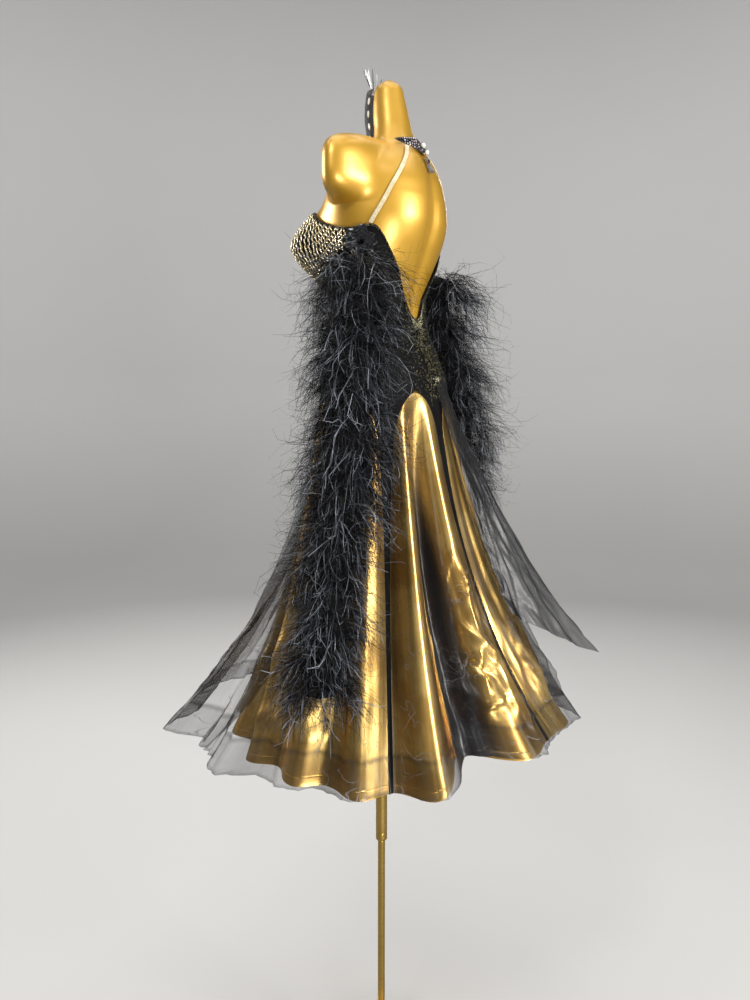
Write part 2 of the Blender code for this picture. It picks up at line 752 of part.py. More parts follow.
def build_fan():
    """A small foot on the halter's top edge, with spikes drawn out of its upper faces."""
    level, half_width, clear = HALTER[-1]
    middle = read_smooth(FORM_SECTIONS, level)[0]
    radius = form_radius(180.0, level) + clear
    half = math.degrees(half_width / radius)
    spans = 2 * SPIKES - 1
    foot = level + SEAM_GAP
    columns = [180.0 + half * (2.0 * c / spans - 1.0) for c in range(spans + 1)]
    rings = []
    for height in (foot, foot + FAN_FOOT):
        rings.append([[round_point(b, radius + out, height, middle) for b in columns]
                      for out in (0.0, 2 * CLOTH)])
    mesh_data = bmesh.new()
    low = [[mesh_data.verts.new(p) for p in line] for line in rings[0]]
    high = [[mesh_data.verts.new(p) for p in line] for line in rings[1]]
    tops = []
    for c in range(spans):
        mesh_data.faces.new((low[0][c], low[0][c + 1], low[1][c + 1], low[1][c]))
        tops.append(mesh_data.faces.new((high[0][c], high[1][c], high[1][c + 1], high[0][c + 1])))
        for side in (0, 1):
            mesh_data.faces.new((low[side][c], low[side][c + 1], high[side][c + 1], high[side][c]))
    for end in (0, -1):
        mesh_data.faces.new((low[0][end], low[1][end], high[1][end], high[0][end]))
    roots = tops[::2]
    grown = bmesh.ops.extrude_discrete_faces(mesh_data, faces=roots)["faces"]
    for k, face in enumerate(grown):
        lean = math.radians(SPIKE_SPREAD * (k / (SPIKES - 1) - 0.5))
        length = SPIKE_LENGTH * (1.0 - SPIKE_SHORTER * abs(2.0 * k / (SPIKES - 1) - 1.0))
        centre = face.calc_center_median()
        step = Vector((-math.sin(lean), -SPIKE_FORWARD, math.cos(lean))) * length
        for vert in face.verts:
            vert.co = centre + (vert.co - centre) * SPIKE_TIP + step
    add_object("neck_fan", mesh_data, "white_beads", smooth=False)


def collar_point(bearing, edge, out):
    """A point of the collar, from its lower edge 0 to its upper edge 1."""
    level, tall, upright = read_smooth(COLLAR, fold_bearing(bearing))
    height = level + tall * (edge - 0.5)
    reach = form_radius(bearing, height)
    reach += upright * max(0.0, form_radius(bearing, level - tall / 2) - reach)
    middle = read_smooth(FORM_SECTIONS, height)[0]
    return round_point(bearing, reach + COLLAR_CLEAR + out, height, middle)


def build_collar():
    bearings = spread(-COLLAR_END, COLLAR_END, COLLAR_SIDES)
    inner, outer = [], []
    for edge, swell in ((0.0, 0.0), (0.5, COLLAR_SWELL), (1.0, 0.0)):
        inner.append([collar_point(bearing, edge, 0.0) for bearing in bearings])
        outer.append([collar_point(bearing, edge, COLLAR_WALL + swell) for bearing in bearings])
    add_wall("collar", inner, outer, "stone_band")


def strap_point(share):
    bearing, height, clear = read_smooth(STRAP_PATH, min(1.0, max(0.0, share)))
    return bearing, height, clear, form_point(bearing, height, clear)


def build_straps():
    inner, outer = [], []
    for share in spread(0.0, 1.0, STRAP_POINTS):
        bearing, height, clear, here = strap_point(share)
        along = (strap_point(share + 0.02)[3] - strap_point(share - 0.02)[3]).normalized()
        turned = form_point(bearing + 2.0, height, clear) - here
        raised = form_point(bearing, height + 0.004, clear) - here
        normal = raised.cross(turned).normalized()
        if normal.dot(Vector((here.x, here.y, 0.0))) < 0:
            normal = -normal
        across = along.cross(normal).normalized() * (STRAP_WIDTH / 2)
        inner.append([here - across, here + across])
        outer.append([here - across + normal * STRAP_THICK, here + across + normal * STRAP_THICK])
    add_pair("strap", inner, outer, "pale_elastic")


# BOAS

def build_rosettes():
    clear = CLOTH_CLEAR + CLOTH
    here = form_point(ROSETTE_BEARING, ROSETTE_HEIGHT, clear)
    along = (form_point(ROSETTE_BEARING + 4.0, ROSETTE_HEIGHT, clear) - here).normalized()
    upward = (form_point(ROSETTE_BEARING, ROSETTE_HEIGHT + 0.01, clear) - here).normalized()
    normal = upward.cross(along).normalized()
    if normal.x < 0.0:
        normal = -normal
    upward = along.cross(normal)
    seat = here + normal * (ROSETTE_SIZE[0] * ROSETTE_FLAT + SEAM_GAP / 2)
    for side, sign in (("left", 1.0), ("right", -1.0)):
        mesh_data = bmesh.new()
        bmesh.ops.create_uvsphere(mesh_data, u_segments=14, v_segments=7, radius=1.0)
        depth, width, height = ROSETTE_SIZE
        for vert in mesh_data.verts:
            # the sphere's pole points out of the gown's side
            out, over, up = vert.co.z, vert.co.x, vert.co.y
            lobe = math.cos(ROSETTE_LOBES * math.atan2(up, over)) * math.hypot(over, up)
            lobe = 1.0 + ROSETTE_LOBE_DEPTH * lobe
            out = depth * (out if out > 0.0 else out * ROSETTE_FLAT)
            place = seat + normal * out + along * (width * over * lobe) + upward * (height * up * lobe)
            vert.co = Vector((sign * place.x, place.y, place.z))
        add_object("rosette_" + side, mesh_data, "black_cloth")


def boa_centre(share, column):
    top, low = BOA_PATH[0][0], BOA_PATH[-1][0]
    height = top + (low - top) * share
    x, y = read_smooth(BOA_PATH[::-1], height)[column:column + 2]
    return Vector((x, y, height))


def build_boas():
    for side, column in (("left", 0), ("right", 2)):
        rings = []
        for r in range(BOA_RINGS + 1):
            share = 1.0 - r / BOA_RINGS
            centre = boa_centre(share, column)
            size = BOA_CORE * (0.75 if r in (0, BOA_RINGS) else 1.0)
            turns = [2 * math.pi * (k + r * BOA_TWIST) / BOA_SIDES for k in range(BOA_SIDES)]
            rings.append([centre + Vector((math.cos(a), math.sin(a), 0.0)) * size for a in turns])
        mesh_data = loft_rings(rings)
        mesh_data.faces.ensure_lookup_table()
        roots = [face for face in mesh_data.faces if len(face.verts) == 4]
        bmesh.ops.recalc_face_normals(mesh_data, faces=mesh_data.faces[:])
        grown = bmesh.ops.extrude_discrete_faces(mesh_data, faces=roots)["faces"]
        for k, face in enumerate(grown):
            centre = face.calc_center_median()
            outward = Vector((centre.x, centre.y, 0.0)).normalized()
            level = Vector((face.normal.x, face.normal.y, 0.0)).normalized()
            facing = level.dot(outward)
            free = min(1.0, max(0.0, 0.62 + 0.62 * facing))
            uneven = 0.88 + 0.12 * math.sin(2.4 * k)
            reach = LOCK_NEAR + (LOCK_REACH - LOCK_NEAR) * free * uneven
            fall = LOCK_FALL * (0.35 + 0.65 * free)
            if k >= len(grown) - BOA_SIDES:
                fall = LOCK_TOP_FALL
            for vert in face.verts:
                vert.co = centre + (vert.co - centre) * LOCK_TIP + level * reach
                vert.co.z -= fall
        add_object("boa_" + side, mesh_data, "feather", smooth=False)


build_stand()
build_form()
build_skirt()
build_float()
build_bodice(gap_turn(SEAM_GAP / 2, FORM_SECTIONS[10][2]))
build_fan()
build_collar()
build_straps()
build_rosettes()
build_boas()
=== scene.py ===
# Looks of a ballroom gown with feather boas, on a gold dress form.
# Bearings are degrees round the pole: 0 at the centre back, 90 at the wearer's left side.

import math
import random

import bmesh
import bpy
import numpy as np
from mathutils import Matrix, Vector, noise


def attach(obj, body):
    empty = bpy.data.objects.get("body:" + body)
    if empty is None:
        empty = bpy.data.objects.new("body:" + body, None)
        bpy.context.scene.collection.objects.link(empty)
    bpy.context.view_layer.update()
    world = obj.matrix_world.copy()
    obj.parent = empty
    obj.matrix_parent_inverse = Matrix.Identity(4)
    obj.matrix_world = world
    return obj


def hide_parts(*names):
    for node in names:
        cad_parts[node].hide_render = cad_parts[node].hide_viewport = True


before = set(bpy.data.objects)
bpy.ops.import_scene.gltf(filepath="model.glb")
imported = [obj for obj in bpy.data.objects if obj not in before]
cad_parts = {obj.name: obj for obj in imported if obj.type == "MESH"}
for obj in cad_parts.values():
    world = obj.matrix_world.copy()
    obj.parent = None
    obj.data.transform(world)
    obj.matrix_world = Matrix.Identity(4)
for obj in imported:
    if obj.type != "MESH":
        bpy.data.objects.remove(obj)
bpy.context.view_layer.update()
random.seed(4)
print("frame loaded")


# Nodes that several finishes share

def addNode(tree, kind, settings=None, inputs=None):
    node = tree.nodes.new("ShaderNode" + kind)
    for key, value in (settings or {}).items():
        setattr(node, key, value)
    for key, value in (inputs or {}).items():
        if isinstance(value, bpy.types.NodeSocket):
            tree.links.new(value, node.inputs[key])
        else:
            node.inputs[key].default_value = value
    return node


def mathNode(tree, operation, first, second=0.5):
    return addNode(tree, "Math", {"operation": operation}, {0: first, 1: second}).outputs[0]


def mixColors(tree, factor, first, second):
    node = addNode(tree, "Mix", {"data_type": "RGBA"}, {0: factor, 6: first, 7: second})
    return node.outputs[2]


def stretchRange(tree, value, low, high, start=0.0, end=1.0):
    node = addNode(tree, "MapRange", {"interpolation_type": "SMOOTHSTEP"},
                   {0: value, 1: low, 2: high, 3: start, 4: end})
    return node.outputs[0]


def newGroup(name, inputs, outputs):
    group = bpy.data.node_groups.new(name, "ShaderNodeTree")
    for label, kind, value in inputs:
        socket = group.interface.new_socket(name=label, in_out="INPUT", socket_type=kind)
        if value is not None:
            socket.default_value = value
    for label in outputs:
        group.interface.new_socket(name=label, in_out="OUTPUT", socket_type="NodeSocketFloat")
    return group, group.nodes.new("NodeGroupInput"), group.nodes.new("NodeGroupOutput")


def makeUnevenTone():
    group, start, end = newGroup("unevenTone", (("Vector", "NodeSocketVector", None),
                                                ("Scale", "NodeSocketFloat", 6.0),
                                                ("Detail", "NodeSocketFloat", 3.0)), ("Factor",))
    cloud = addNode(group, "TexNoise", None, {"Vector": start.outputs[0], "Scale": start.outputs[1],
                                              "Detail": start.outputs[2], "Roughness": 0.55})
    spread = stretchRange(group, cloud.outputs[0], 0.34, 0.66)
    group.links.new(spread, end.inputs[0])
    return group


def makeThreadWeave():
    # threads that pass over and under each other, from coordinates in metres
    group, start, end = newGroup("threadWeave", (("Vector", "NodeSocketVector", None),
                                                 ("Threads per metre", "NodeSocketFloat", 900.0)),
                                 ("Height", "Gaps"))
    parts = addNode(group, "SeparateXYZ", None, {0: start.outputs[0]})
    waves = []
    for axis in (0, 1):
        turned = mathNode(group, "MULTIPLY", parts.outputs[axis], start.outputs[1])
        waves.append(mathNode(group, "SINE", mathNode(group, "MULTIPLY", turned, math.pi)))
    height = mathNode(group, "MULTIPLY", waves[0], waves[1])
    gaps = mathNode(group, "ABSOLUTE", height)
    group.links.new(height, end.inputs[0])
    group.links.new(gaps, end.inputs[1])
    return group


def makeLongStreaks():
    # a fine grain that runs down the cloth: x across it and y down it, in metres
    group, start, end = newGroup("longStreaks", (("Vector", "NodeSocketVector", None),
                                                 ("Across", "NodeSocketFloat", 260.0),
                                                 ("Down", "NodeSocketFloat", 9.0)), ("Height",))
    parts = addNode(group, "SeparateXYZ", None, {0: start.outputs[0]})
    across = mathNode(group, "MULTIPLY", parts.outputs[0], start.outputs[1])
    down = mathNode(group, "MULTIPLY", parts.outputs[1], start.outputs[2])
    joined = addNode(group, "CombineXYZ", None, {0: across, 1: down})
    grain = addNode(group, "TexNoise", None, {"Vector": joined.outputs[0], "Scale": 1.0, "Detail": 3.0})
    group.links.new(grain.outputs[0], end.inputs[0])
    return group


unevenTone = makeUnevenTone()
threadWeave = makeThreadWeave()
longStreaks = makeLongStreaks()


def useGroup(tree, group, inputs):
    return addNode(tree, "Group", {"node_tree": group}, inputs)


def toneOver(tree, place, scale):
    return useGroup(tree, unevenTone, {"Vector": place, "Scale": scale}).outputs[0]


def paintWith(tree, shader, color, rough=None):
    tree.links.new(color, shader.inputs["Base Color"])
    if rough is not None:
        tree.links.new(rough, shader.inputs["Roughness"])


def newFinish(name, constants):
    material = bpy.data.materials.new(name)
    material.use_nodes = True
    tree = material.node_tree
    shader = tree.nodes["Principled BSDF"]
    for key, value in constants.items():
        shader.inputs[key].default_value = value
    return material, tree, shader


def bumpInto(tree, shader, height, distance, strength=1.0):
    bump = addNode(tree, "Bump", None, {"Height": height, "Distance": distance, "Strength": strength})
    tree.links.new(bump.outputs[0], shader.inputs["Normal"])
    return bump


# Finishes

def makeGoldPaint():
    material, tree, shader = newFinish("goldPaint", {"Metallic": 0.55, "Coat Weight": 0.45,
                                                     "Coat Roughness": 0.33, "Coat IOR": 1.85})
    place = addNode(tree, "TexCoord").outputs["Object"]
    tone = toneOver(tree, place, 5.0)
    color = mixColors(tree, tone, (0.61, 0.33, 0.022, 1), (0.69, 0.39, 0.036, 1))
    paintWith(tree, shader, color, stretchRange(tree, tone, 0.0, 1.0, 0.38, 0.43))
    skin = addNode(tree, "TexNoise", None, {"Vector": place, "Scale": 160.0, "Detail": 2.0})
    bumpInto(tree, shader, skin.outputs[0], 0.0004, 0.25)
    return material


def makeGoldMetal():
    material, tree, shader = newFinish("goldMetal", {"Metallic": 1.0})
    place = addNode(tree, "TexCoord").outputs["Object"]
    tone = toneOver(tree, place, 14.0)
    color = mixColors(tree, tone, (0.68, 0.46, 0.12, 1), (0.74, 0.51, 0.15, 1))
    paintWith(tree, shader, color)
    grain = addNode(tree, "Mapping", None, {"Vector": place, "Scale": (30, 30, 700)})
    lines = addNode(tree, "TexNoise", None, {"Vector": grain.outputs[0], "Scale": 1.0, "Detail": 2.0})
    rough = stretchRange(tree, lines.outputs[0], 0.3, 0.7, 0.27, 0.32)
    tree.links.new(rough, shader.inputs["Roughness"])
    bumpInto(tree, shader, lines.outputs[0], 0.0002, 0.25)
    return material


def makeBlackKnit():
    material, tree, shader = newFinish("blackKnit", {"Sheen Weight": 0.02, "Sheen Roughness": 0.35,
                                                     "Specular IOR Level": 0.10})
    place = addNode(tree, "TexCoord")
    tone = toneOver(tree, place.outputs["Object"], 16.0)
    color = mixColors(tree, tone, (0.0022, 0.0022, 0.0026, 1), (0.006, 0.006, 0.007, 1))
    paintWith(tree, shader, color, stretchRange(tree, tone, 0.0, 1.0, 0.58, 0.70))
    weave = useGroup(tree, threadWeave, {"Vector": place.outputs["UV"], "Threads per metre": 800.0})
    bumpInto(tree, shader, weave.outputs["Height"], 0.0002, 0.15)
    return material


def makeBlackSatin():
    material, tree, shader = newFinish("blackSatin", {"Sheen Weight": 0.15, "Specular IOR Level": 0.7,
                                                      "Coat Weight": 0.25, "Coat Roughness": 0.25})
    place = addNode(tree, "TexCoord")
    streaks = useGroup(tree, longStreaks, {"Vector": place.outputs["UV"], "Across": 300.0, "Down": 30.0})
    color = mixColors(tree, streaks.outputs[0], (0.010, 0.011, 0.014, 1), (0.035, 0.038, 0.046, 1))
    paintWith(tree, shader, color, stretchRange(tree, streaks.outputs[0], 0.3, 0.7, 0.24, 0.36))
    bumpInto(tree, shader, streaks.outputs[0], 0.0004, 0.4)
    return material


def makeGoldSatin():
    material, tree, shader = newFinish("goldSatin", {"Metallic": 0.82, "Coat Weight": 0.32,
                                                     "Coat Roughness": 0.25, "Coat IOR": 1.75,
                                                     "Specular IOR Level": 0.6})
    place = addNode(tree, "TexCoord")
    streaks = useGroup(tree, longStreaks, {"Vector": place.outputs["UV"], "Across": 110.0, "Down": 2.0})
    tone = toneOver(tree, place.outputs["Object"], 9.0)
    shade = mathNode(tree, "MULTIPLY", tone, streaks.outputs[0])
    color = mixColors(tree, stretchRange(tree, shade, 0.1, 0.6), (0.66, 0.39, 0.090, 1),
                      (0.95, 0.65, 0.205, 1))
    paintWith(tree, shader, color)
    rough = stretchRange(tree, streaks.outputs[0], 0.3, 0.7, 0.30, 0.39)
    tree.links.new(rough, shader.inputs["Roughness"])
    # the hem's stitch line, a set way above the edge
    parts = addNode(tree, "SeparateXYZ", None, {0: place.outputs["UV"]})
    away = mathNode(tree, "ABSOLUTE", mathNode(tree, "SUBTRACT", parts.outputs[1], 0.016))
    groove = stretchRange(tree, away, 0.0, 0.0018, -1.0, 0.0)
    weave = useGroup(tree, threadWeave, {"Vector": place.outputs["UV"], "Threads per metre": 1500.0})
    fine = mathNode(tree, "MULTIPLY", weave.outputs["Height"], 0.004)
    grain = mathNode(tree, "MULTIPLY", streaks.outputs[0], 0.13)
    height = mathNode(tree, "ADD", mathNode(tree, "ADD", fine, grain), groove)
    bumpInto(tree, shader, height, 0.0010, 0.35)
    return material


def makeSheerBlack():
    material, tree, shader = newFinish("sheerBlack", {"Specular IOR Level": 0.45})
    place = addNode(tree, "TexCoord").outputs["UV"]
    # painted highlights on fine crumple lines: where two noises pass their middle value
    lines = None
    for size, wide in ((13.0, 0.010), (29.0, 0.014)):
        cloud = addNode(tree, "TexNoise", None, {"Vector": place, "Scale": size, "Detail": 1.5})
        away = mathNode(tree, "ABSOLUTE", mathNode(tree, "SUBTRACT", cloud.outputs[0], 0.5))
        line = stretchRange(tree, away, 0.0, wide, 1.0, 0.0)
        lines = line if lines is None else mathNode(tree, "MAXIMUM", lines, line)
    patches = addNode(tree, "TexNoise", None, {"Vector": place, "Scale": 9.0, "Detail": 2.0})
    broken = stretchRange(tree, patches.outputs[0], 0.46, 0.66)
    crisp = addNode(tree, "Attribute", {"attribute_name": "crisp"}).outputs["Fac"]
    band = addNode(tree, "Attribute", {"attribute_name": "band"}).outputs["Fac"]
    # painted shade: the fold attribute makes the overlay more opaque, so darker, over deep satin folds and
    # in crease streaks, and dims the painted highlights there
    fold = addNode(tree, "Attribute", {"attribute_name": "fold"}).outputs["Fac"]
    crumpleHighlight = mathNode(tree, "MULTIPLY", mathNode(tree, "MULTIPLY", lines, broken), crisp)
    crumpleHighlight = mathNode(tree, "MULTIPLY", crumpleHighlight, stretchRange(tree, fold, 0.0, 0.6, 1.0, 0.15))
    streaks = useGroup(tree, longStreaks, {"Vector": place, "Across": 150.0, "Down": 7.0}).outputs[0]
    weave = useGroup(tree, threadWeave, {"Vector": place, "Threads per metre": 900.0})
    # painted highlight: the crumple lines are painted silver grey, and below they are made more opaque
    color = mixColors(tree, crumpleHighlight, (0.012, 0.012, 0.014, 1), (0.34, 0.34, 0.36, 1))
    paintWith(tree, shader, color)
    # the threads crowd where the cloth turns away from the eye
    edge = addNode(tree, "LayerWeight", None, {"Blend": 0.26}).outputs["Facing"]
    alpha = mathNode(tree, "ADD", mathNode(tree, "MULTIPLY", weave.outputs["Gaps"], 0.03), 0.015)
    for share, amount in ((edge, 0.42), (crumpleHighlight, 0.34), (band, 0.11), (streaks, 0.09), (fold, 0.66)):
        alpha = mathNode(tree, "ADD", alpha, mathNode(tree, "MULTIPLY", share, amount))
    tree.links.new(mathNode(tree, "MINIMUM", alpha, 0.92), shader.inputs["Alpha"])
    rough = stretchRange(tree, crumpleHighlight, 0.0, 1.0, 0.34, 0.22)
    tree.links.new(rough, shader.inputs["Roughness"])
    height = mathNode(tree, "ADD", lines, mathNode(tree, "MULTIPLY", streaks, 1.4))
    bumpInto(tree, shader, height, 0.0006, 0.35)
    return material


def makeBlackMesh():
    material, tree, shader = newFinish("blackMesh", {"Sheen Weight": 0.2, "Roughness": 0.6})
    place = addNode(tree, "TexCoord")
    weave = useGroup(tree, threadWeave, {"Vector": place.outputs["UV"], "Threads per metre": 520.0})
    tone = toneOver(tree, place.outputs["Object"], 30.0)
    color = mixColors(tree, tone, (0.010, 0.010, 0.012, 1), (0.030, 0.030, 0.034, 1))
    paintWith(tree, shader, color)
    alpha = stretchRange(tree, weave.outputs["Gaps"], 0.05, 0.5, 0.95, 0.45)
    tree.links.new(alpha, shader.inputs["Alpha"])
    bumpInto(tree, shader, weave.outputs["Height"], 0.0004, 0.5)
    return material


def makeFeatherBlack():
    material, tree, shader = newFinish("featherBlack", {"Specular IOR Level": 0.13})
    strandHighlight = addNode(tree, "Attribute", {"attribute_name": "strandHighlight"}).outputs["Fac"]
    place = addNode(tree, "TexCoord").outputs["Object"]
    tone = toneOver(tree, place, 40.0)
    uneven = mathNode(tree, "ADD", mathNode(tree, "MULTIPLY", tone, 0.6), 0.4)
    # painted highlight: strands are painted light bluish grey as far as their strandHighlight value goes
    light = mathNode(tree, "MULTIPLY", strandHighlight, uneven)
    color = mixColors(tree, light, (0.0014, 0.0014, 0.0020, 1), (0.50, 0.54, 0.62, 1))
    paintWith(tree, shader, color, stretchRange(tree, tone, 0.0, 1.0, 0.36, 0.48))
    return material


def makeBeadFinish(name, dark, light, rough, metallic, scale=420.0):
    material, tree, shader = newFinish(name, {"Metallic": metallic, "Coat Weight": 0.4,
                                              "Coat Roughness": 0.08})
    place = addNode(tree, "TexCoord").outputs["Object"]
    cells = addNode(tree, "TexVoronoi", None, {"Vector": place, "Scale": scale})
    parts = addNode(tree, "SeparateColor", None, {0: cells.outputs["Color"]})
    color = mixColors(tree, parts.outputs[0], dark, light)
    paintWith(tree, shader, color, stretchRange(tree, parts.outputs[1], 0.0, 1.0, rough, rough + 0.12))
    return material


def makePaleElastic():
    material, tree, shader = newFinish("paleElastic", {"Sheen Weight": 0.2, "Roughness": 0.5})
    place = addNode(tree, "TexCoord")
    parts = addNode(tree, "SeparateXYZ", None, {0: place.outputs["UV"]})
    ribs = mathNode(tree, "SINE", mathNode(tree, "MULTIPLY", parts.outputs[0], 4200.0))
    tone = toneOver(tree, place.outputs["Object"], 60.0)
    color = mixColors(tree, tone, (0.60, 0.51, 0.29, 1), (0.72, 0.65, 0.44, 1))
    paintWith(tree, shader, color)
    bumpInto(tree, shader, ribs, 0.0003, 0.6)
    return material


goldPaint = makeGoldPaint()
goldMetal = makeGoldMetal()
blackKnit = makeBlackKnit()
goldSatin = makeGoldSatin()
blackSatin = makeBlackSatin()
sheerBlack = makeSheerBlack()
blackMesh = makeBlackMesh()
featherBlack = makeFeatherBlack()
chainBeads = makeBeadFinish("chainBeads", (0.62, 0.48, 0.22, 1), (0.98, 0.92, 0.74, 1), 0.14, 0.80)
stones = makeBeadFinish("stones", (0.50, 0.44, 0.47, 1), (0.95, 0.92, 0.93, 1), 0.05, 0.35, 300.0)
smokyStones = makeBeadFinish("smokyStones", (0.20, 0.16, 0.18, 1), (0.66, 0.56, 0.60, 1), 0.06, 0.35, 300.0)
darkStones = makeBeadFinish("darkStones", (0.02, 0.02, 0.03, 1), (0.22, 0.24, 0.28, 1), 0.06, 0.5, 300.0)
laceBeads = makeBeadFinish("laceBeads", (0.010, 0.011, 0.007, 1), (0.25, 0.23, 0.12, 1), 0.22, 0.5, 330.0)
silverRods = makeBeadFinish("silverRods", (0.72, 0.72, 0.72, 1), (0.93, 0.93, 0.92, 1), 0.14, 0.55, 500.0)
pearls = makeBeadFinish("pearls", (0.80, 0.76, 0.62, 1), (0.93, 0.91, 0.84, 1), 0.14, 0.1, 200.0)
paleElastic = makePaleElastic()
print("finishes made")


# Curves through tables

def readSmooth(rows, at):
    # the other columns where the first is at, on one smooth curve without overshoot
    last = len(rows) - 1
    if at <= rows[0][0]:
        return rows[0][1:]
    if at >= rows[last][0]:
        return rows[last][1:]
    i = max(k for k in range(last) if rows[k][0] <= at)
    x0, x1 = rows[i][0], rows[i + 1][0]
    step = x1 - x0
    t = (at - x0) / step
    values = []
    for c in range(1, len(rows[0])):
        y0, y1 = rows[i][c], rows[i + 1][c]
        slope = (y1 - y0) / step
        before = (y0 - rows[i - 1][c]) / (x0 - rows[i - 1][0]) if i > 0 else slope
        after = (rows[i + 2][c] - y1) / (rows[i + 2][0] - x1) if i + 2 <= last else slope
        m0 = 0.5 * (before + slope) if before * slope > 0 else 0.0
        m1 = 0.5 * (slope + after) if slope * after > 0 else 0.0
        limit = 3.0 * abs(slope)
        m0 = max(-limit, min(limit, m0))
        m1 = max(-limit, min(limit, m1))
        t2, t3 = t * t, t * t * t
        values.append((2 * t3 - 3 * t2 + 1) * y0 + (t3 - 2 * t2 + t) * step * m0
                      + (3 * t2 - 2 * t3) * y1 + (t3 - t2) * step * m1)
    return values


def foldBearing(bearing):
    return abs((bearing + 180.0) % 360.0 - 180.0)


def turnBetween(bearing, middle):
    return (bearing - middle + 180.0) % 360.0 - 180.0


def blendIn(value, low, high):
    t = min(1.0, max(0.0, (value - low) / (high - low)))
    return t * t * (3.0 - 2.0 * t)


def roundSpot(bearing, radius, height, middle=0.0):
    turn = math.radians(bearing)
    return Vector((radius * math.sin(turn), middle + radius * math.cos(turn), height))


# The form's shape

form = {
    "sections": (        # height, middle y, half width, back, front
        (1.352, 0.000, 0.088, 0.058, 0.050),
        (1.362, 0.000, 0.104, 0.070, 0.060),
        (1.400, 0.000, 0.122, 0.084, 0.074),
        (1.460, 0.000, 0.144, 0.100, 0.086),
        (1.520, 0.000, 0.162, 0.117, 0.096),
        (1.560, 0.000, 0.161, 0.118, 0.098),
        (1.600, 0.000, 0.147, 0.104, 0.094),
        (1.640, 0.000, 0.129, 0.087, 0.090),
        (1.680, 0.000, 0.115, 0.076, 0.087),
        (1.720, 0.000, 0.110, 0.073, 0.088),
        (1.760, 0.000, 0.114, 0.084, 0.094),
        (1.800, 0.000, 0.123, 0.101, 0.100),
        (1.840, 0.000, 0.131, 0.117, 0.103),
        (1.880, 0.000, 0.136, 0.126, 0.101),
        (1.915, 0.000, 0.137, 0.124, 0.095),
        (1.950, 0.008, 0.128, 0.108, 0.090),
        (1.980, 0.020, 0.104, 0.083, 0.080),
        (2.002, 0.028, 0.074, 0.062, 0.060),
        (2.020, 0.030, 0.052, 0.045, 0.044),
        (2.046, 0.026, 0.042, 0.038, 0.037),
        (2.082, 0.020, 0.036, 0.035, 0.035),
        (2.116, 0.016, 0.031, 0.030, 0.030),
        (2.136, 0.015, 0.025, 0.025, 0.025),
        (2.146, 0.015, 0.013, 0.013, 0.013),
    ),
    "relief": (          # bearing, height, spread in degrees, spread in height, reach
        (0.0, 1.860, 10.0, 0.110, -0.013),
        (40.0, 1.845, 24.0, 0.060, 0.004),
        (148.0, 1.830, 23.0, 0.066, 0.066),
    ),
    "stubMiddle": 1.956, "stubHalfHeight": 0.064, "stubReach": 0.196, "stubDepth": 0.058,
    "stubSquare": 3.2, "stubY": 0.004, "stubRoot": 0.060, "stubAside": 0.6, "stubBlend": 10.0,
    "sides": 120, "crowd": 11.0, "lowSteps": 64, "stubSteps": 52, "neckSteps": 26, "capSteps": 5,
    "crownRise": 0.004,
}


def stubRadius(sine, cosine, middle, height):
    level = abs(height - form["stubMiddle"]) / form["stubHalfHeight"]
    if level >= 1.0:
        return 0.0
    square = form["stubSquare"]
    roundOff = (1.0 - level ** square) ** (1.0 / square)
    reach = form["stubRoot"] + (form["stubReach"] - form["stubRoot"]) * roundOff
    depth = form["stubDepth"] * roundOff + 0.001
    limit = form["stubAside"] * depth
    aside = max(-limit, min(limit, middle - form["stubY"]))
    whole = (sine / reach) ** 2 + (cosine / depth) ** 2
    half = aside * cosine / depth ** 2
    return (math.sqrt(half * half - whole * ((aside / depth) ** 2 - 1.0)) - half) / whole


def formMiddle(height):
    return readSmooth(form["sections"], height)[0]


def formRadius(bearing, height):
    middle, halfWidth, back, front = readSmooth(form["sections"], height)
    sine, cosine = math.sin(math.radians(bearing)), math.cos(math.radians(bearing))
    depth = back if cosine > 0 else front
    radius = 1.0 / math.sqrt((sine / halfWidth) ** 2 + (cosine / depth) ** 2)
    for centre, level, spread, spreadUp, reach in form["relief"]:
        turn = (foldBearing(bearing) - centre) / spread
        rise = (height - level) / spreadUp
        radius += reach * math.exp(-turn * turn - rise * rise)
    stub = stubRadius(sine, cosine, middle, height)
    if stub > 0.0:
        blend = form["stubBlend"]
        radius = (radius ** blend + stub ** blend) ** (1.0 / blend)
    return radius


def formSpot(bearing, height, clear=0.0):
    return roundSpot(bearing, formRadius(bearing, height) + clear, height, formMiddle(height))


# The skirt's shape

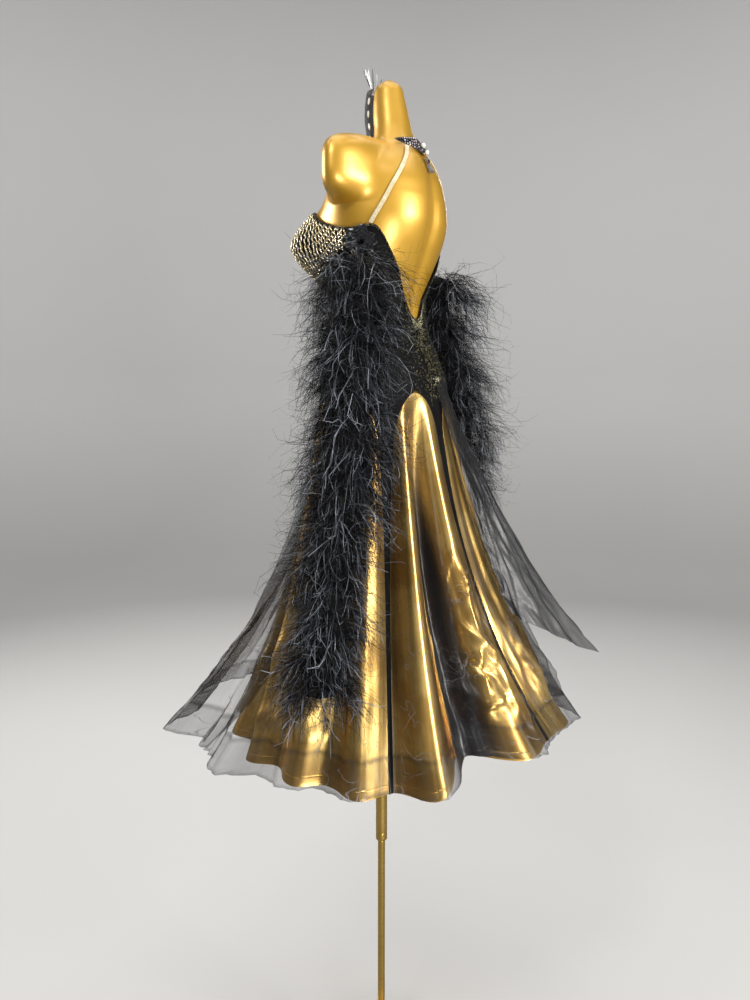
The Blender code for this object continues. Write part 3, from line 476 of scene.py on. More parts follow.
skirt = {
    "clear": 0.0045, "cloth": 0.0014, "hem": 0.832, "sheerRise": 0.014, "hip": 1.540,
    "archTop": 1.539, "archRise": 0.105, "yokeTop": 1.640, "flarePower": 2.2, "pipeGrowth": 2.2,
    "reach": (           # bearing, satin reach at the hem, overlay stand-off, straight share, hem rise
        (0.0, 0.385, 0.014, 0.42, 0.040),
        (26.0, 0.370, 0.020, 0.42, 0.042),
        (46.0, 0.362, 0.024, 0.42, 0.006),
        (62.0, 0.352, 0.024, 0.42, 0.000),
        (90.0, 0.335, 0.045, 0.40, 0.006),
        (120.0, 0.310, 0.116, 0.34, 0.008),
        (150.0, 0.300, 0.116, 0.30, 0.012),
        (180.0, 0.305, 0.096, 0.30, 0.014),
    ),
    "pipes": (           # bearing, how far out at the hem
        (0.0, -0.006), (15.0, 0.020), (30.0, -0.066), (43.0, 0.034), (54.0, -0.020), (65.0, 0.018),
        (75.0, -0.018), (85.0, 0.020), (96.0, -0.016), (107.0, 0.020), (118.0, -0.022),
        (131.0, 0.018), (141.0, -0.020), (151.0, 0.020), (161.0, -0.018), (171.0, 0.016),
        (180.0, -0.014),
    ),
    "gores": (0.0, 55.0, 118.0, 180.0, 242.0, 305.0),
    "strip": ((0.0, 0.0140), (0.22, 0.0085), (0.5, 0.0058), (0.8, 0.0050), (1.0, 0.0050)),
    "stripRadii": (0.165, 0.350),
    "crumple": ((0, 1.0), (24, 1.0), (31, 0.2), (36, 0.0), (54, 0.0), (66, 0.4), (110, 0.7), (180, 0.6),
                (250, 0.7), (300, 0.8), (345, 0.8), (360, 1.0)),
    "seamGap": 0.0003,
}


def pipeDepth(bearing):
    place = foldBearing(bearing)
    pipes = skirt["pipes"]
    for (b0, d0), (b1, d1) in zip(pipes, pipes[1:]):
        if place <= b1:
            ease = 0.5 - 0.5 * math.cos(math.pi * (place - b0) / (b1 - b0))
            return d0 + (d1 - d0) * ease
    return pipes[-1][1]


hipRadii = {}


def hipRadius(bearing):
    key = round(bearing % 360.0, 2)
    if key not in hipRadii:
        hipRadii[key] = formRadius(bearing, skirt["hip"]) + skirt["clear"]
    return hipRadii[key]


def dropShare(level):
    return (skirt["hip"] - level) / (skirt["hip"] - skirt["hem"])


def skirtRadius(bearing, level, pipe=None):
    if level >= skirt["hip"]:
        return formRadius(bearing, level) + skirt["clear"]
    reach, _, straight, _ = readSmooth(skirt["reach"], foldBearing(bearing))
    drop = dropShare(level)
    start = hipRadius(bearing)
    flare = straight * drop + (1.0 - straight) * drop ** skirt["flarePower"]
    depth = pipeDepth(bearing) if pipe is None else pipe
    growth = 1.0 - max(0.0, 1.0 - drop) ** skirt["pipeGrowth"]
    return start + (reach - start) * flare + depth * growth


def hemRise(bearing, level):
    return readSmooth(skirt["reach"], foldBearing(bearing))[3] * max(0.0, dropShare(level)) ** 3


def skirtSpot(bearing, level, out=0.0):
    return roundSpot(bearing, skirtRadius(bearing, level) + out, level + hemRise(bearing, level))


def godetHalf(level, span):
    foot = skirt["archTop"] - skirt["archRise"]
    drop = min(1.0, max(0.0, (foot - level) / (foot - skirt["hem"])))
    strip = readSmooth(skirt["strip"], drop)[0]
    inner, outer = skirt["stripRadii"]
    return span / 2 - math.degrees(strip / (inner + (outer - inner) * drop))


def archDrop(share):
    return skirt["archRise"] * (1.0 - math.sqrt(max(0.0, 1.0 - share * share)))


# folds of the satin between its pipes: bearing and level where each starts and ends, half width in
# degrees, depth; they are troughs where the depth is below 0
satinFolds = (
    (350, 1.42, 353, 0.90, 2.2, -0.004), (338, 1.30, 343, 0.98, 1.8, 0.005),
    (327, 1.36, 322, 0.92, 2.4, -0.004), (316, 1.24, 319, 0.84, 2.0, 0.004),
    (8, 1.40, 6, 0.98, 2.0, -0.004), (14, 1.18, 22, 0.90, 1.5, 0.006),
    (21, 1.28, 17, 1.02, 1.4, -0.005), (36, 1.44, 35, 0.88, 2.0, 0.004),
    (47, 1.30, 49, 0.86, 2.4, -0.003), (50, 1.12, 46, 0.90, 1.6, 0.003),
    (64, 1.40, 61, 0.92, 2.0, -0.004), (72, 1.30, 74, 0.86, 2.2, 0.005),
    (80, 1.42, 82, 1.00, 1.8, -0.004), (92, 1.38, 90, 0.88, 2.4, 0.004),
    (101, 1.30, 104, 0.94, 1.8, -0.005), (110, 1.40, 109, 0.90, 2.0, 0.004),
    (126, 1.38, 124, 0.92, 2.4, -0.004), (136, 1.30, 138, 0.86, 2.0, 0.005),
    (146, 1.42, 144, 0.98, 2.2, -0.004), (157, 1.36, 159, 0.88, 1.8, 0.004),
    (168, 1.28, 166, 0.94, 2.4, -0.005), (188, 1.40, 190, 0.90, 2.2, 0.004),
    (199, 1.30, 196, 0.94, 1.8, -0.005), (207, 1.42, 209, 0.88, 2.4, 0.005),
    (218, 1.34, 215, 0.96, 2.0, -0.004), (228, 1.38, 231, 0.86, 2.2, 0.004),
    (237, 1.28, 234, 0.92, 1.8, -0.004), (251, 1.40, 254, 0.90, 2.4, 0.005),
    (263, 1.30, 260, 0.96, 2.0, -0.004), (273, 1.42, 276, 0.88, 1.8, 0.004),
    (284, 1.36, 281, 0.92, 2.2, -0.005), (295, 1.30, 298, 0.86, 2.0, 0.004),
)

# short cross creases where the satin breaks above its hem
satinBreaks = (
    (352, 0.985, 340, 0.935, 1.3, 0.007), (346, 1.060, 352, 1.000, 1.2, -0.006),
    (335, 0.960, 326, 0.915, 1.4, 0.005), (12, 0.960, 23, 0.930, 1.1, 0.011),
    (24, 1.030, 13, 0.985, 1.0, -0.009), (23, 1.160, 18, 1.230, 0.9, 0.010),
    (18, 1.130, 13, 1.200, 0.9, 0.009), (20, 1.090, 9, 1.010, 1.0, 0.009),
    (66, 0.930, 74, 0.900, 1.3, 0.003),
    (100, 0.950, 109, 0.905, 1.4, 0.004), (150, 0.940, 158, 0.900, 1.3, 0.004),
    (204, 0.930, 212, 0.890, 1.4, 0.004), (262, 0.950, 270, 0.905, 1.3, 0.004),
)


def alongFold(fold, bearing, level):
    b0, l0, b1, l1, width, depth = fold
    run = (l0 - level) / (l0 - l1)
    if run < -0.15 or run > 1.25:
        return 0.0
    centre = b0 + (b1 - b0) * run
    turn = turnBetween(bearing, centre) / width
    if abs(turn) > 3.0:
        return 0.0
    fade = blendIn(run, -0.15, 0.35) * (1.0 - blendIn(run, 0.95, 1.25))
    return depth * fade * math.exp(-turn * turn)


def acrossBreak(fold, bearing, level):
    b0, l0, b1, l1, width, depth = fold
    reach = 0.36 * math.radians(1.0)
    x, y = turnBetween(bearing, b0) * reach, level - l0
    dx, dy = turnBetween(b1, b0) * reach, l1 - l0
    length = math.hypot(dx, dy)
    run = (x * dx + y * dy) / length ** 2
    if run < -0.2 or run > 1.2:
        return 0.0
    away = (x * dy - y * dx) / length / (width * 0.006)
    if abs(away) > 3.0:
        return 0.0
    return depth * math.sin(math.pi * (run + 0.2) / 1.4) * math.exp(-away * away)


def crumple(bearing, level):
    # flat facets with sharp folds between them, low down and mostly at the back
    strength = readSmooth(skirt["crumple"], bearing % 360.0)[0] * blendIn(dropShare(level), 0.42, 0.78)
    strength *= 1.0 - blendIn(dropShare(level), 0.86, 0.92)
    if strength < 0.01:
        return 0.0
    turn = math.radians(bearing)
    spot = Vector((turn * 5.2 + level * 2.2, level * 7.5 - turn * 2.0, 3.9))
    fold = 1.0 - 2.6 * abs(noise.noise(spot))
    fine = 1.0 - 2.6 * abs(noise.noise(spot * 2.1 + Vector((7.0, 0.0, 0.0))))
    return strength * (0.0100 * fold + 0.0045 * fine)


def satinCrease(bearing, level, across):
    quiet = 1.0 - abs(across) ** 6
    crease = sum(alongFold(fold, bearing, level) for fold in satinFolds)
    crease += sum(acrossBreak(fold, bearing, level) for fold in satinBreaks)
    crease += crumple(bearing, level)
    drop = max(0.0, dropShare(level))
    soft = noise.noise(Vector((math.radians(bearing) * 6.0, level * 3.0, 1.7)))
    return quiet * (crease + 0.004 * drop * soft)


# The overlay's shape

sheer = {
    "thick": 0.0005, "free": 0.55, "loose": 0.80, "near": 0.010,
    "waves": ((2.0, 0.20), (3.0, 0.22), (3.0, 0.25)),    # waves and depth, back to front
}

# crisp folds of the overlay: as the satin's
sheerFolds = (
    (341, 1.34, 345, 0.84, 1.3, 0.009), (331, 1.22, 325, 0.86, 1.0, 0.007),
    (353, 1.28, 350, 0.90, 1.1, 0.006), (312, 1.30, 314, 0.86, 1.2, 0.008),
    (8, 1.32, 11, 0.86, 1.1, 0.008), (22, 1.44, 27, 0.86, 1.6, 0.012), (38, 1.10, 37, 0.82, 1.0, 0.007),
    (50, 1.24, 48, 0.84, 1.1, 0.009), (60, 1.36, 63, 0.84, 1.2, 0.010), (69, 1.20, 68, 0.82, 1.0, 0.007),
    (77, 1.32, 80, 0.86, 1.3, 0.009), (88, 1.16, 86, 0.84, 1.0, 0.008), (95, 1.34, 98, 0.82, 1.2, 0.010),
    (104, 1.18, 102, 0.86, 1.4, 0.012), (112, 1.30, 114, 0.84, 1.1, 0.010),
    (123, 1.20, 121, 0.84, 1.3, 0.014), (130, 1.34, 134, 0.86, 1.5, 0.014),
    (142, 1.16, 139, 0.82, 1.2, 0.012), (149, 1.30, 152, 0.84, 1.4, 0.014),
    (161, 1.18, 158, 0.86, 1.2, 0.012), (170, 1.32, 173, 0.84, 1.3, 0.012),
    (186, 1.20, 189, 0.84, 1.2, 0.012), (197, 1.32, 194, 0.86, 1.4, 0.014),
    (206, 1.16, 209, 0.82, 1.2, 0.012), (217, 1.30, 214, 0.84, 1.5, 0.014),
    (226, 1.20, 229, 0.86, 1.2, 0.012), (236, 1.32, 233, 0.84, 1.2, 0.010),
    (247, 1.18, 250, 0.86, 1.2, 0.010), (258, 1.30, 255, 0.84, 1.3, 0.010),
    (268, 1.20, 271, 0.82, 1.1, 0.008), (279, 1.34, 276, 0.86, 1.2, 0.009),
    (290, 1.18, 293, 0.84, 1.2, 0.008), (299, 1.32, 297, 0.86, 1.0, 0.007),
)


def sheerRelease(level):
    return max(0.0, (dropShare(level) - sheer["free"]) / (1.0 - sheer["free"])) ** 2


def sheerLift(k, across, bearing, level):
    drop = max(0.0, (skirt["archTop"] - level) / (skirt["archTop"] - skirt["hem"]))
    standOff = readSmooth(skirt["reach"], foldBearing(bearing))[1]
    waves, depth = sheer["waves"][min(k, len(skirt["gores"]) - 1 - k)]
    wave = 1.0 + depth * math.cos(math.pi * waves * (1.0 + abs(across)))
    side = 1.0 - across ** 4 * (1.0 - sheer["loose"] * sheerRelease(level))
    top = min(1.0, drop / 0.2)
    return side * top * wave * (sheer["near"] * drop + standOff * drop ** 2.4)


def sheerCrumple(bearing, level, across):
    # crisp folds, and the crumpled look of the stiff hem band
    drop = max(0.0, dropShare(level))
    quiet = 1.0 - abs(across) ** 4 * (1.0 - sheerRelease(level))
    fold = sum(alongFold(row, bearing, level) for row in sheerFolds)
    turn = math.radians(bearing)
    crisp = noise.noise(Vector((turn * 17.0, level * 13.0, 4.1)))
    ripple = noise.noise(Vector((turn * 40.0, level * 24.0, 8.3)))
    return quiet * (fold + drop ** 2 * (0.0050 * abs(crisp) * 2.0 + 0.0022 * ripple))


# Building sheets

def keepPiece(piece, slotName, *nodes):
    bpy.context.scene.collection.objects.link(piece)
    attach(piece, "root")
    if nodes:
        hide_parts(*nodes)
    return piece


def addModifier(piece, label, kind, settings):
    modifier = piece.modifiers.new(label, kind)
    for key, value in settings.items():
        setattr(modifier, key, value)


def finishMesh(name, mesh, finish):
    data = bpy.data.meshes.new(name)
    mesh.to_mesh(data)
    mesh.free()
    data.shade_smooth()
    data.materials.append(finish)
    return bpy.data.objects.new(name, data)


def placeGrid(columns, rows, place):
    # a flat grid whose points go where place(u, v) says; addSheet gives such a grid a UV map in metres, v up
    # from the hem
    mesh = bmesh.new()
    bmesh.ops.create_grid(mesh, x_segments=columns, y_segments=rows, size=0.5)
    mesh.verts.index_update()
    spots = []
    for vert in mesh.verts:
        u, v = vert.co.x + 0.5, 0.5 - vert.co.y
        spots.append((u, v))
        vert.co = place(u, v)
    return mesh, spots


def cutSize(mesh, spots, columns, rows):
    # the widest row, the longest column, and the area
    rowLengths, columnLengths = {}, {}
    for edge in mesh.edges:
        (u0, v0), (_, v1) = [spots[vert.index] for vert in edge.verts]
        if abs(v0 - v1) < 1e-6:
            rowLengths[round(v0 * rows)] = rowLengths.get(round(v0 * rows), 0.0) + edge.calc_length()
        else:
            key = round(u0 * columns)
            columnLengths[key] = columnLengths.get(key, 0.0) + edge.calc_length()
    area = sum(face.calc_area() for face in mesh.faces)
    return max(rowLengths.values()), max(columnLengths.values()), area


def addSheet(name, columns, rows, place, thick, finish, node, slotName, held="draped",
             values=None, smoother=1):
    mesh, spots = placeGrid(columns, rows, place)
    width, length, area = cutSize(mesh, spots, columns, rows)
    mesh.normal_update()
    outward = sum(face.normal.dot(Vector((*face.calc_center_median().xy, 0))) for face in mesh.faces)
    if outward < 0.0:
        bmesh.ops.reverse_faces(mesh, faces=mesh.faces[:])
    cloth = mesh.loops.layers.uv.new("cloth")
    for face in mesh.faces:
        for loop in face.loops:
            u, v = spots[loop.vert.index]
            loop[cloth].uv = (u * width, (1.0 - v) * length)
    for label in (values or {}):
        layer = mesh.verts.layers.float.new(label)
        for vert in mesh.verts:
            vert[layer] = values[label](*spots[vert.index])
    piece = finishMesh(name, mesh, finish)
    if smoother:
        addModifier(piece, "Soften", "SUBSURF", {"levels": smoother, "render_levels": smoother})
    addModifier(piece, "Thickness", "SOLIDIFY", {"thickness": thick, "offset": 0.0})
    addModifier(piece, "Shade", "WEIGHTED_NORMAL", {"keep_sharp": False})
    keepPiece(piece, slotName, node)
    if held is None:
        return piece
    flatWidth = min(width, area / (0.305 * length))
    round(min(area, flatWidth * length), 4)
    return piece


def mixed(start, end, t):
    return start + (end - start) * t


# The skirt's pieces

def goreSpot(k):
    gores = skirt["gores"]
    centre = gores[k]
    spans = [(gores[k] - gores[k - 1]) % 360.0, (gores[(k + 1) % len(gores)] - gores[k]) % 360.0]
    yokeShare, archShare = 0.14, 0.30
    foot = skirt["archTop"] - skirt["archRise"]

    def place(u, v):
        if v <= yokeShare:
            level, share = mixed(skirt["yokeTop"], skirt["archTop"] + 0.001, v / yokeShare), 0.0
        elif v <= archShare:
            share = math.sin(math.pi / 2 * (v - yokeShare) / (archShare - yokeShare))
            level = skirt["archTop"] - archDrop(share)
        else:
            level, share = mixed(foot, skirt["hem"], (v - archShare) / (1.0 - archShare)), 1.0
        trim = math.degrees(skirt["seamGap"] / 2 / skirtRadius(centre, level))
        before, after = [span / 2 - share * godetHalf(level, span) - trim for span in spans]
        bearing = centre - before + (before + after) * u
        wrinkle = 0.0
        if level > skirt["archTop"]:
            pull = noise.noise(Vector((math.radians(bearing) * 9.0, level * 34.0, 2.2)))
            wrinkle = 0.0007 * pull
        return skirtSpot(bearing, level, skirt["cloth"] / 2 + wrinkle)

    return place


def godetPlaces(k):
    gores = skirt["gores"]
    span = (gores[(k + 1) % len(gores)] - gores[k]) % 360.0
    centre = gores[k] + span / 2
    foot = skirt["archTop"] - skirt["archRise"]
    trim = math.degrees(skirt["seamGap"] / 2 / skirt["stripRadii"][0])

    def across(u):
        return math.sin(math.pi / 2 * (2.0 * u - 1.0))

    def levelAt(u, v, lowest):
        side = abs(across(u))
        top = foot if side > 0.9995 else skirt["archTop"] - skirt["seamGap"] - archDrop(side)
        return mixed(top, lowest, v)

    def satin(u, v):
        level = levelAt(u, v, skirt["hem"])
        bearing = centre + across(u) * (godetHalf(level, span) - trim)
        return skirtSpot(bearing, level, skirt["cloth"] / 2 + satinCrease(bearing, level, across(u)))

    def overlay(u, v):
        side = across(u)
        level = levelAt(u, v, skirt["hem"] + skirt["sheerRise"])
        half = godetHalf(level, span) - trim
        room = span / 2 - math.degrees(skirt["seamGap"] / 0.3) - abs(side) * half
        bearing = centre + side * half + side * abs(side) * max(0.0, sheerRelease(level) * room)
        lift = sheerLift(k, side, bearing, level) + sheerCrumple(bearing, level, side)
        crease = satinCrease(bearing, level, min(1.0, abs(side)))
        out = skirt["cloth"] + skirt["seamGap"] + sheer["thick"] / 2 + max(0.0, crease) + lift
        return skirtSpot(bearing, level, out)

    def gathered(u, v):
        # painted shade: the overlay is made more opaque, so darker, where it lies over a deep fold of the
        # satin
        bearing = centre + across(u) * span / 2
        return min(1.0, max(0.0, -pipeDepth(bearing) / 0.055)) ** 1.5 * blendIn(v, 0.10, 0.50)

    return satin, overlay, gathered


def bandValue(_, v):
    # the doubled hem band, with its stitched upper edge and its rolled lower edge
    if v > 0.992 or abs(v - 0.915) < 0.004:
        return 2.4
    return 1.0 if v > 0.915 else 0.0


# how many crumple lines show, more towards the hem; the sheer finish paints them as highlights
def crispValue(_, v):
    return 0.15 + 0.85 * blendIn(v, 0.25, 0.85)


def makeSkirt():
    for k in range(len(skirt["gores"])):
        node = "gore_%d" % (k + 1)
        addSheet("goreCloth%d" % (k + 1), 10, 44, goreSpot(k), 0.0012, blackKnit, node, "black_cloth",
                 held="stretched")
    for k in range(len(skirt["gores"])):
        satin, overlay, gathered = godetPlaces(k)
        addSheet("satinGodet%d" % (k + 1), 72, 92, satin, 0.0010, goldSatin, "godet_%d" % (k + 1),
                 "gold_satin", held="gathered", smoother=0)
        addSheet("sheerGodet%d" % (k + 1), 82, 98, overlay, sheer["thick"], sheerBlack,
                 "organza_%d" % (k + 1), "sheer_black", held="gathered",
                 smoother=0,
                 values={"band": bandValue, "crisp": crispValue, "fold": gathered})


backFloat = {
    "topInner": (354.0, 1.572, 0.0020), "topOuter": (330.0, 1.572, 0.0020),
    "lowInner": (357.0, 1.100, 0.010), "lowOuter": (332.0, 0.972, 0.104),
    "pipe": 0.030, "swing": 1.7, "rise": 0.018,
}


def floatSpot(u, v):
    gores = skirt["gores"]
    middle, span = (gores[-1] + 360.0) / 2, 360.0 - gores[-1]
    tops = [mixed(a, b, u) for a, b in zip(backFloat["topInner"], backFloat["topOuter"])]
    lows = [mixed(a, b, u) for a, b in zip(backFloat["lowInner"], backFloat["lowOuter"])]
    bearing, level = mixed(tops[0], lows[0], v), mixed(tops[1], lows[1], v)
    stand = mixed(tops[2], lows[2], v ** backFloat["swing"])
    side = max(-1.0, min(1.0, (bearing - middle) / godetHalf(level, span)))
    stand += sheerLift(len(gores) - 1, side, bearing, level)
    stand += backFloat["rise"] * math.sin(math.pi * v) * (0.5 + 0.5 * u)
    ruffle = noise.noise(Vector((u * 5.0, v * 6.0, 3.3)))
    crisp = abs(noise.noise(Vector((u * 9.0 + v * 3.0, v * 8.0 - u * 2.0, 6.6))))
    stand += 0.010 * v * ruffle + 0.012 * v * crisp + 0.0004
    return roundSpot(bearing, skirtRadius(bearing, level, backFloat["pipe"]) + stand,
                     level + hemRise(bearing, level))


# painted shade: streaks down the float are made more opaque, so darker, as creases would look
def floatCreaseShade(u, v):
    return 0.25 + 0.9 * abs(noise.noise(Vector((u * 8.0 - v * 2.0, v * 1.6, 2.8))))


def makeFloat():
    # painted shade along creases from floatCreaseShade, and painted crumple highlights that grow towards the
    # hem
    addSheet("backFloatCloth", 44, 76, floatSpot, sheer["thick"], sheerBlack, "back_float",
             "sheer_black", held="hung",
             values={"band": lambda u, v: 0.5, "fold": floatCreaseShade, "crisp": lambda u, v: 0.5 + 0.5 * v},
             smoother=0)


makeSkirt()
makeFloat()
print("skirt made")


# Joining many small things

def joinCopies(name, template, places, finish, slotName, nodes=(), labels=None):
    # one mesh of many copies; each place is an origin and three axes that carry the size
    spots = np.array([vert.co for vert in template.verts])
    turns = np.array([[list(axis) for axis in place[1:4]] for place in places])
    turns[np.linalg.det(turns) < 0.0, 0] *= -1.0
    origins = np.array([list(place[0]) for place in places])
    moved = origins[:, None, :] + np.einsum("nij,vi->nvj", turns, spots)
    template.verts.index_update()
    corners = [[vert.index for vert in face.verts] for face in template.faces]
    count = len(spots)
    faces = [[i + k * count for i in face] for k in range(len(places)) for face in corners]
    data = bpy.data.meshes.new(name)
    data.from_pydata(moved.reshape(-1, 3), [], faces)
    for label, values in (labels or {}).items():
        layer = data.attributes.new(label, "FLOAT", "POINT")
        layer.data.foreach_set("value", np.asarray(values, dtype=np.float32).ravel())
    data.materials.append(finish)
    data.validate()
    return keepPiece(bpy.data.objects.new(name, data), slotName, *nodes)


def evenPlace(here, size):
    return here, Vector((size, 0, 0)), Vector((0, size, 0)), Vector((0, 0, size))


def mirrored(spot, sign):
    return Vector((sign * spot.x, spot.y, spot.z))


def longBead(sides=6, rings=4):
    mesh = bmesh.new()
    bmesh.ops.create_uvsphere(mesh, u_segments=sides, v_segments=rings, radius=1.0)
    return mesh


def roundBead():
    mesh = bmesh.new()
    bmesh.ops.create_icosphere(mesh, subdivisions=1, radius=1.0)
    return mesh


def cutStone(sides=8):
    # a flat-backed stone with a table on top, its axis along z
    mesh = bmesh.new()
    bmesh.ops.create_cone(mesh, cap_ends=True, segments=sides, radius1=1.0, radius2=0.55, depth=0.55)
    bmesh.ops.translate(mesh, verts=mesh.verts[:], vec=(0, 0, 0.275))
    return mesh


def frameAt(spotAt, bearing, height, turn=1.0, rise=0.002):
    # a spot on a surface with its directions along, up and out
    here = spotAt(bearing, height)
    along = (spotAt(bearing - turn, height) - spotAt(bearing + turn, height)).normalized()
    up = (spotAt(bearing, height + rise) - spotAt(bearing, height - rise)).normalized()
    out = along.cross(up).normalized()
    return here, along, out.cross(along).normalized(), out


def addTube(name, sides, steps, along, thick, finish, slotName):
    # a round cord on a curve, closed at both ends
    def place(u, v):
        row = v * (steps + 2)
        t = min(1.0, max(0.0, (row - 1.0) / steps))
        ahead = (along(min(1.0, t + 0.01)) - along(max(0.0, t - 0.01))).normalized()
        side = ahead.cross(Vector((0.02, 0.01, 1.0))).normalized()
        up = side.cross(ahead).normalized()
        radius = 0.0 if row < 0.5 or row > steps + 1.5 else thick
        turn = 2.0 * math.pi * u
        return along(t) + side * (radius * math.cos(turn)) + up * (radius * math.sin(turn))

    mesh, _ = placeGrid(sides, steps + 2, place)
    return closeMesh(name, mesh, finish, slotName)


def closeMesh(name, mesh, finish, slotName, nodes=()):
    bmesh.ops.remove_doubles(mesh, verts=mesh.verts[:], dist=0.00001)
    bmesh.ops.recalc_face_normals(mesh, faces=mesh.faces[:])
    return keepPiece(finishMesh(name, mesh, finish), slotName, *nodes)


def spinPiece(name, profile, steps, finish, slotName, node):
    # a turned piece from its profile, which starts and ends on the axis
    mesh = bmesh.new()
    points = [mesh.verts.new((x, 0.0, z)) for x, z in profile]
    edges = [mesh.edges.new(pair) for pair in zip(points, points[1:])]
    bmesh.ops.spin(mesh, geom=points + edges, cent=(0, 0, 0), axis=(0, 0, 1), angle=2.0 * math.pi,
                   steps=steps, use_merge=True)
    piece = closeMesh(name, mesh, finish, slotName, (node,))
    addModifier(piece, "Round", "BEVEL", {"width": 0.0012, "segments": 3, "limit_method": "ANGLE",
                                          "angle_limit": math.radians(35)})
    addModifier(piece, "Shade", "WEIGHTED_NORMAL", {"keep_sharp": False})


# The stand and the form

stand = {
    "baseRadius": 0.180, "baseThick": 0.010, "socketRadius": 0.019, "socketHeight": 0.036,
    "rodRadius": 0.0080, "tubeRadius": 0.0125, "tubeBottom": 0.550, "gap": 0.0006,
}


def makeStand():
    radius, top, gap = stand["baseRadius"], stand["baseThick"], stand["gap"]
    spinPiece("baseDisc", ((0, 0), (radius - 0.002, 0), (radius, 0.002), (radius, top - 0.003),
                           (radius - 0.003, top), (0.030, top), (0, top)), 96, goldMetal,
              "gold_metal", "base")
    foot, socket = top + gap, stand["socketRadius"]
    rise = foot + stand["socketHeight"]
    spinPiece("baseSocket", ((0, foot), (socket, foot), (socket, foot + 0.006),
                             (socket - 0.004, foot + 0.011), (socket - 0.004, rise - 0.004),
                             (socket - 0.006, rise), (0, rise)), 48, goldMetal, "gold_metal",
              "base_collar")
    rod, tubeFoot = stand["rodRadius"], stand["tubeBottom"]
    spinPiece("poleRod", ((0, rise + gap), (rod, rise + gap), (rod, tubeFoot - gap), (0, tubeFoot - gap)),
              32, goldMetal, "gold_metal", "rod")
    tube, head = stand["tubeRadius"], form["sections"][0][0] - gap
    spinPiece("poleTube", ((0, tubeFoot), (tube - 0.002, tubeFoot), (tube, tubeFoot + 0.002),
                           (tube, tubeFoot + 0.016), (tube - 0.0008, tubeFoot + 0.0175),
                           (tube - 0.0008, tubeFoot + 0.0195), (tube, tubeFoot + 0.021),
                           (tube, head), (0, head)), 40, goldMetal, "gold_metal", "tube")


def formHeights():
    # level lines of the form, close together where the arm stubs turn in
    middle, half = form["stubMiddle"], form["stubHalfHeight"]
    first, last = form["sections"][0][0], form["sections"][-1][0]
    heights = [mixed(first, middle - half, k / form["lowSteps"]) for k in range(form["lowSteps"])]
    steps = form["stubSteps"]
    heights += [middle - half * math.cos(math.pi * k / steps) for k in range(steps)]
    heights += [mixed(middle + half, last, (k / form["neckSteps"]) ** 0.85)
                for k in range(form["neckSteps"] + 1)]
    return heights


def makeForm():
    heights = formHeights()
    caps = form["capSteps"]
    rows = len(heights) - 1 + 2 * caps

    def place(u, v):
        turn = 360.0 * u
        bearing = turn + form["crowd"] * math.sin(math.radians(2.0 * turn))
        row = round((1.0 - v) * rows)
        if row < caps:
            share, height = math.sin(math.pi / 2 * row / caps), heights[0]
            rise = 0.0
        elif row > rows - caps:
            share = math.sin(math.pi / 2 * (rows - row) / caps)
            height, rise = heights[-1], form["crownRise"] * (1.0 - share * share)
        else:
            share, height, rise = 1.0, heights[row - caps], 0.0
        return roundSpot(bearing, formRadius(bearing, height) * share, height + rise, formMiddle(height))

    mesh, _ = placeGrid(form["sides"], rows, place)
    closeMesh("formShell", mesh, goldPaint, "gold_form", ("form",))


makeStand()
makeForm()
print("stand and form made")


# The bodice

bodice = {
    "top": (             # bearing, height of the upper edge
        (0.0, 1.682), (14.0, 1.694), (30.0, 1.734), (48.0, 1.796), (66.0, 1.850), (78.0, 1.846),
        (90.0, 1.847), (104.0, 1.856), (118.0, 1.869), (130.0, 1.886), (148.0, 1.898), (164.0, 1.890),
        (180.0, 1.868),
    ),
    "cupBottom": ((96.0, 1.815), (122.0, 1.768), (148.0, 1.748), (166.0, 1.762), (180.0, 1.800)),
    "cupSide": 96.0, "clear": 0.0045, "cloth": 0.0014,
}


def bodiceTop(bearing):
    return readSmooth(bodice["top"], foldBearing(bearing))[0]


def cupBottom(bearing):
    return readSmooth(bodice["cupBottom"], foldBearing(bearing))[0]


def bodicePlace(start, end, lowEdge, highEdge, wrinkles):
    def place(u, v):
        bearing = mixed(start, end, u)
        low, high = lowEdge(bearing), highEdge(bearing)
        height = mixed(high, low, v)
        pull = noise.noise(Vector((math.radians(bearing) * 7.0, height * 42.0, 6.1)))
        side = math.sin(math.pi * min(1.0, max(0.0, v)))
        return formSpot(bearing, height, bodice["clear"] + bodice["cloth"] / 2 + wrinkles * pull * side)
    return place


def waistLine(_):
    return skirt["yokeTop"]


def makeBodice():
    side = bodice["cupSide"]
    for label, start, end in (("Left", 0.0, side), ("Right", 360.0 - side, 360.0)):
        addSheet("side" + label, 24, 16, bodicePlace(start, end, waistLine, bodiceTop, 0.0012), 0.0012,
                 blackKnit, "side_" + label.lower(), "black_cloth", held="stretched")
    addSheet("frontPanel", 50, 12, bodicePlace(side, 360.0 - side, waistLine, cupBottom, 0.0008), 0.0012,
             blackKnit, "front_panel", "black_cloth", held="stretched")
    for label, start, end in (("Left", side, 180.0), ("Right", 180.0, 360.0 - side)):
        addSheet("cup" + label, 26, 14, bodicePlace(start, end, cupBottom, bodiceTop, 0.0), 0.0012,
                 blackKnit, "cup_" + label.lower(), "black_cloth", held="stretched")


chains = {
    "strings": 29, "pitch": 0.0072, "halfLength": 0.0056, "radius": 0.0021, "tilt": 34.0,
    "small": 0.0014, "out": 0.0036, "overlap": 9.0, "middleGap": 0.8,
}


